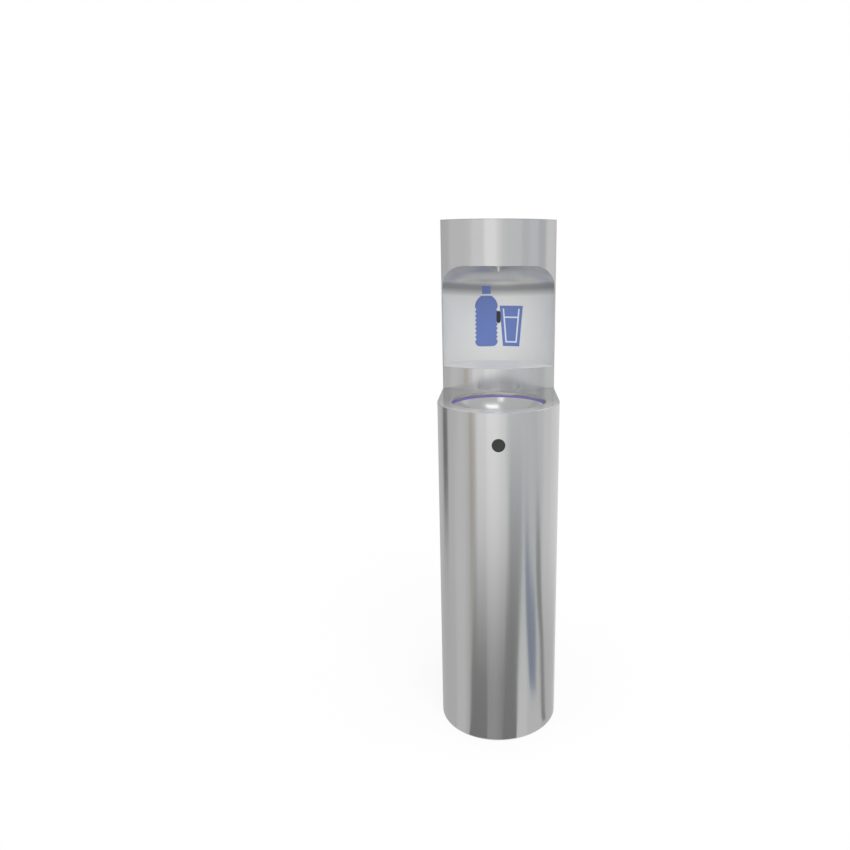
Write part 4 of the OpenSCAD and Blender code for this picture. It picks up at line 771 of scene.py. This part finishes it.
# A flat is made of rows, each with its two angles, a distance, a height and a shade. The rows are drawn
# from where the round front turns a look from the camera into the heading of each angle.
def studio_flat(name, rows):
    mesh = bmesh.new()
    shade = mesh.verts.layers.float_color.new("shade")
    turns = max(1, round((rows[-1][1] - rows[-1][0]) / degrees_per_face))
    grid = bmesh.ops.create_grid(mesh, x_segments=turns, y_segments=len(rows) - 1, size=0.5)["verts"]
    for vert in grid:
        start, end, distance, height, colour = rows[round((vert.co.y + 0.5) * (len(rows) - 1))]
        angle = math.radians(start + (end - start) * (vert.co.x + 0.5))
        vert[shade] = (*colour, 1)
        foot = front_axis + body_r * heading(angle / 2) + distance * heading(angle)
        vert.co = foot + Vector((0, 0, height))
    hang_flat(name, mesh)


# A strip's shade goes from near to far over its fade along the floor, and to the high one up the wall.
# The strips in front are brighter at a sill's height, which lights the steel below the ledge.
def strip_rows(first, last, fade, near, far, high):
    rows = []
    for distance in floor_rows:
        lean = min(1, distance / lean_reach)
        share = min(1, max(0, (distance - fade[0]) / (fade[1] - fade[0])))
        angles = [edge[0] + (edge[1] - edge[0]) * lean for edge in (first, last)]
        rows.append((*angles, distance, flat_lift, near + (far - near) * share))
    sill = far + (high - far) * (sill_h - foot_h) / (high_h - foot_h)
    if abs(first[1] + last[1]) / 2 < sill_front:
        sill = sill_lift * sill
    for height, shade in ((foot_h, far), (sill_h, sill), (high_h, high), (flat_h, high)):
        rows.append((first[-1], last[-1], flat_reach, height, shade))
    return rows


even_fade = (0.3, 1.7)
quick_fade = (0.4, 1.3)
slow_fade = (0.6, 2.9)
late_fade = (1.1, 2.4)
far_fade = (1.5, 2.6)
warm_near = Vector((0.5, 0.49, 0.47))
warm_far = Vector((0.54, 0.43, 0.35))
cool_grey = Vector((0.66, 0.67, 0.69))
wall_far = Vector((0.68, 0.69, 0.71))
wall_high = Vector((0.74, 0.75, 0.77))
slit_high = Vector((0.65, 0.66, 0.68))
gap_high = Vector((0.71, 0.72, 0.74))
screen_high = Vector((0.6, 0.61, 0.64))
strips = (
    ("back_paper_left", (-180, -180), even_fade, grey(0.57), grey(0.6), grey(0.55)),
    ("left_curtain", (-128, -128), late_fade, grey(0.58), grey(0.17), grey(0.5)),
    ("left_wall", (-111, -111), even_fade, grey(0.6), grey(0.64), grey(0.61)),
    ("left_bay", (-92, -92, -80), even_fade, grey(0.68), grey(0.71), grey(0.71)),
    ("left_jamb", (-68, -66), even_fade, grey(0.6), grey(0.66), grey(0.71)),
    ("left_door", (-61, -56, -57), far_fade, warm_near, warm_far, grey(0.72)),
    ("left_corner", (-59, -47, -49), even_fade, grey(0.25), grey(0.62), grey(0.75)),
    ("lit_wall", (-42, -42), even_fade, grey(0.25), grey(0.9), grey(0.85)),
    ("lit_window", (-22, -22), even_fade, grey(0.38), grey(1.0), grey(1.05)),
    ("lit_reveal", (-3, -3), even_fade, grey(0.35), grey(0.97), grey(0.9)),
    ("lit_sill", (4, 4), even_fade, grey(0.31), grey(0.92), grey(0.77)),
    ("right_wall", (7, 20, 13), slow_fade, grey(0.25), wall_far, wall_high),
    ("right_slit", (33, 44, 36), slow_fade, grey(0.25), wall_far, slit_high),
    ("right_gap", (35, 46, 48), quick_fade, grey(0.75), cool_grey, gap_high),
    ("right_screen", (58, 60, 63), quick_fade, grey(0.68), cool_grey, screen_high),
    ("right_panel", (74, 74, 76), quick_fade, grey(0.68), cool_grey, grey(0.83)),
    ("right_post", (95, 93), quick_fade, grey(0.6), grey(0.78), grey(0.74)),
    ("right_paper", (117, 117), quick_fade, grey(0.6), grey(0.83), grey(0.8)),
    ("back_paper_right", (150, 150), even_fade, grey(0.8), grey(0.8), grey(0.55)),
)
strip_ends = [strip[1] for strip in strips[1:]] + [(180, 180)]
for (name, first, *finish), last in zip(strips, strip_ends):
    studio_flat(name, strip_rows(first, last, *finish))

# Two boards lie askew on the strips, which gives the slanting streaks on the right of the pedestal.
board_lift = 2 * flat_lift
blue_edges = ((66, 79, 0.2), (60, 80, 0.45), (54, 77, 0.8), (53, 62, 1.1), (52, 58, 1.5))
dark_edges = ((99, 111, 0.02), (94, 106, 0.2), (91, 101, 0.5), (80, 93, 0.8), (77, 89, 1.2), (77, 86, 1.7))
blue_shade = Vector((0.27, 0.31, 0.4))
dark_shade = grey(0.3)
for name, edges, shade in (("blue_board", blue_edges, blue_shade), ("dark_board", dark_edges, dark_shade)):
    studio_flat(name, [(*edge, board_lift, shade) for edge in edges])


# The studio's ceiling and its two soft boxes, which only the steel sees.
# The boxes give the bright spots in the bowl, and a lamp beside them gives the light.
ceiling_shade = grey(0.55)
box_shade = grey(2.2)
box_drop = 0.05
box_h = flat_h - box_drop
studio_flat("studio_ceiling",
            [(-180, 180, distance, flat_h, ceiling_shade) for distance in (0, flat_reach)])


def soft_box(name, middle, size, turn):
    mesh = bmesh.new()
    shade = mesh.verts.layers.float_color.new("shade")
    sheet = bmesh.ops.create_grid(mesh, x_segments=1, y_segments=1, size=0.5)["verts"]
    for vert in sheet:
        vert[shade] = (*box_shade, 1)
    place = Matrix.Translation((*middle, box_h)) @ Matrix.Rotation(math.radians(turn), 4, "Z")
    bmesh.ops.transform(mesh, matrix=place @ Matrix.Diagonal((*size, 1, 1)), verts=sheet)
    hang_flat(name, mesh)


soft_box("long_soft_box", middle=(0.47, -0.52), size=(0.95, 0.28), turn=13)
soft_box("small_soft_box", middle=(-0.235, -1.385), size=(0.38, 0.3), turn=-11)

key_light = bpy.data.lights.new("key_light", "AREA")
key_light.shape = "SQUARE"
key_light.size = 1.6
key_light.energy = 30
key = bpy.data.objects.new("key_light", key_light)
key.location = (0.9, -2.2, 2.8)
key_aim = Vector((0, 0, 0.8))
key.rotation_euler = (key_aim - key.location).to_track_quat("-Z", "Y").to_euler()
key.visible_glossy = False
bpy.context.scene.collection.objects.link(key)


# The camera stands in front of the dispenser, a little above its bowl, and looks down on it.
# The lens is shifted, which puts the dispenser right of the picture's middle without a turn.
camera_pitch = math.radians(12.853)
camera_data = bpy.data.cameras.new("front_camera")
camera_data.sensor_width = 36
camera_data.lens = 30.31
camera_data.shift_x = -0.0865
camera = bpy.data.objects.new("front_camera", camera_data)
camera.location = (0, -1.9415, 1.2516)
camera.rotation_euler = (math.pi / 2 - camera_pitch, 0, 0)
bpy.context.scene.collection.objects.link(camera)
bpy.context.scene.camera = camera
bpy.context.scene.view_settings.view_transform = "Standard"
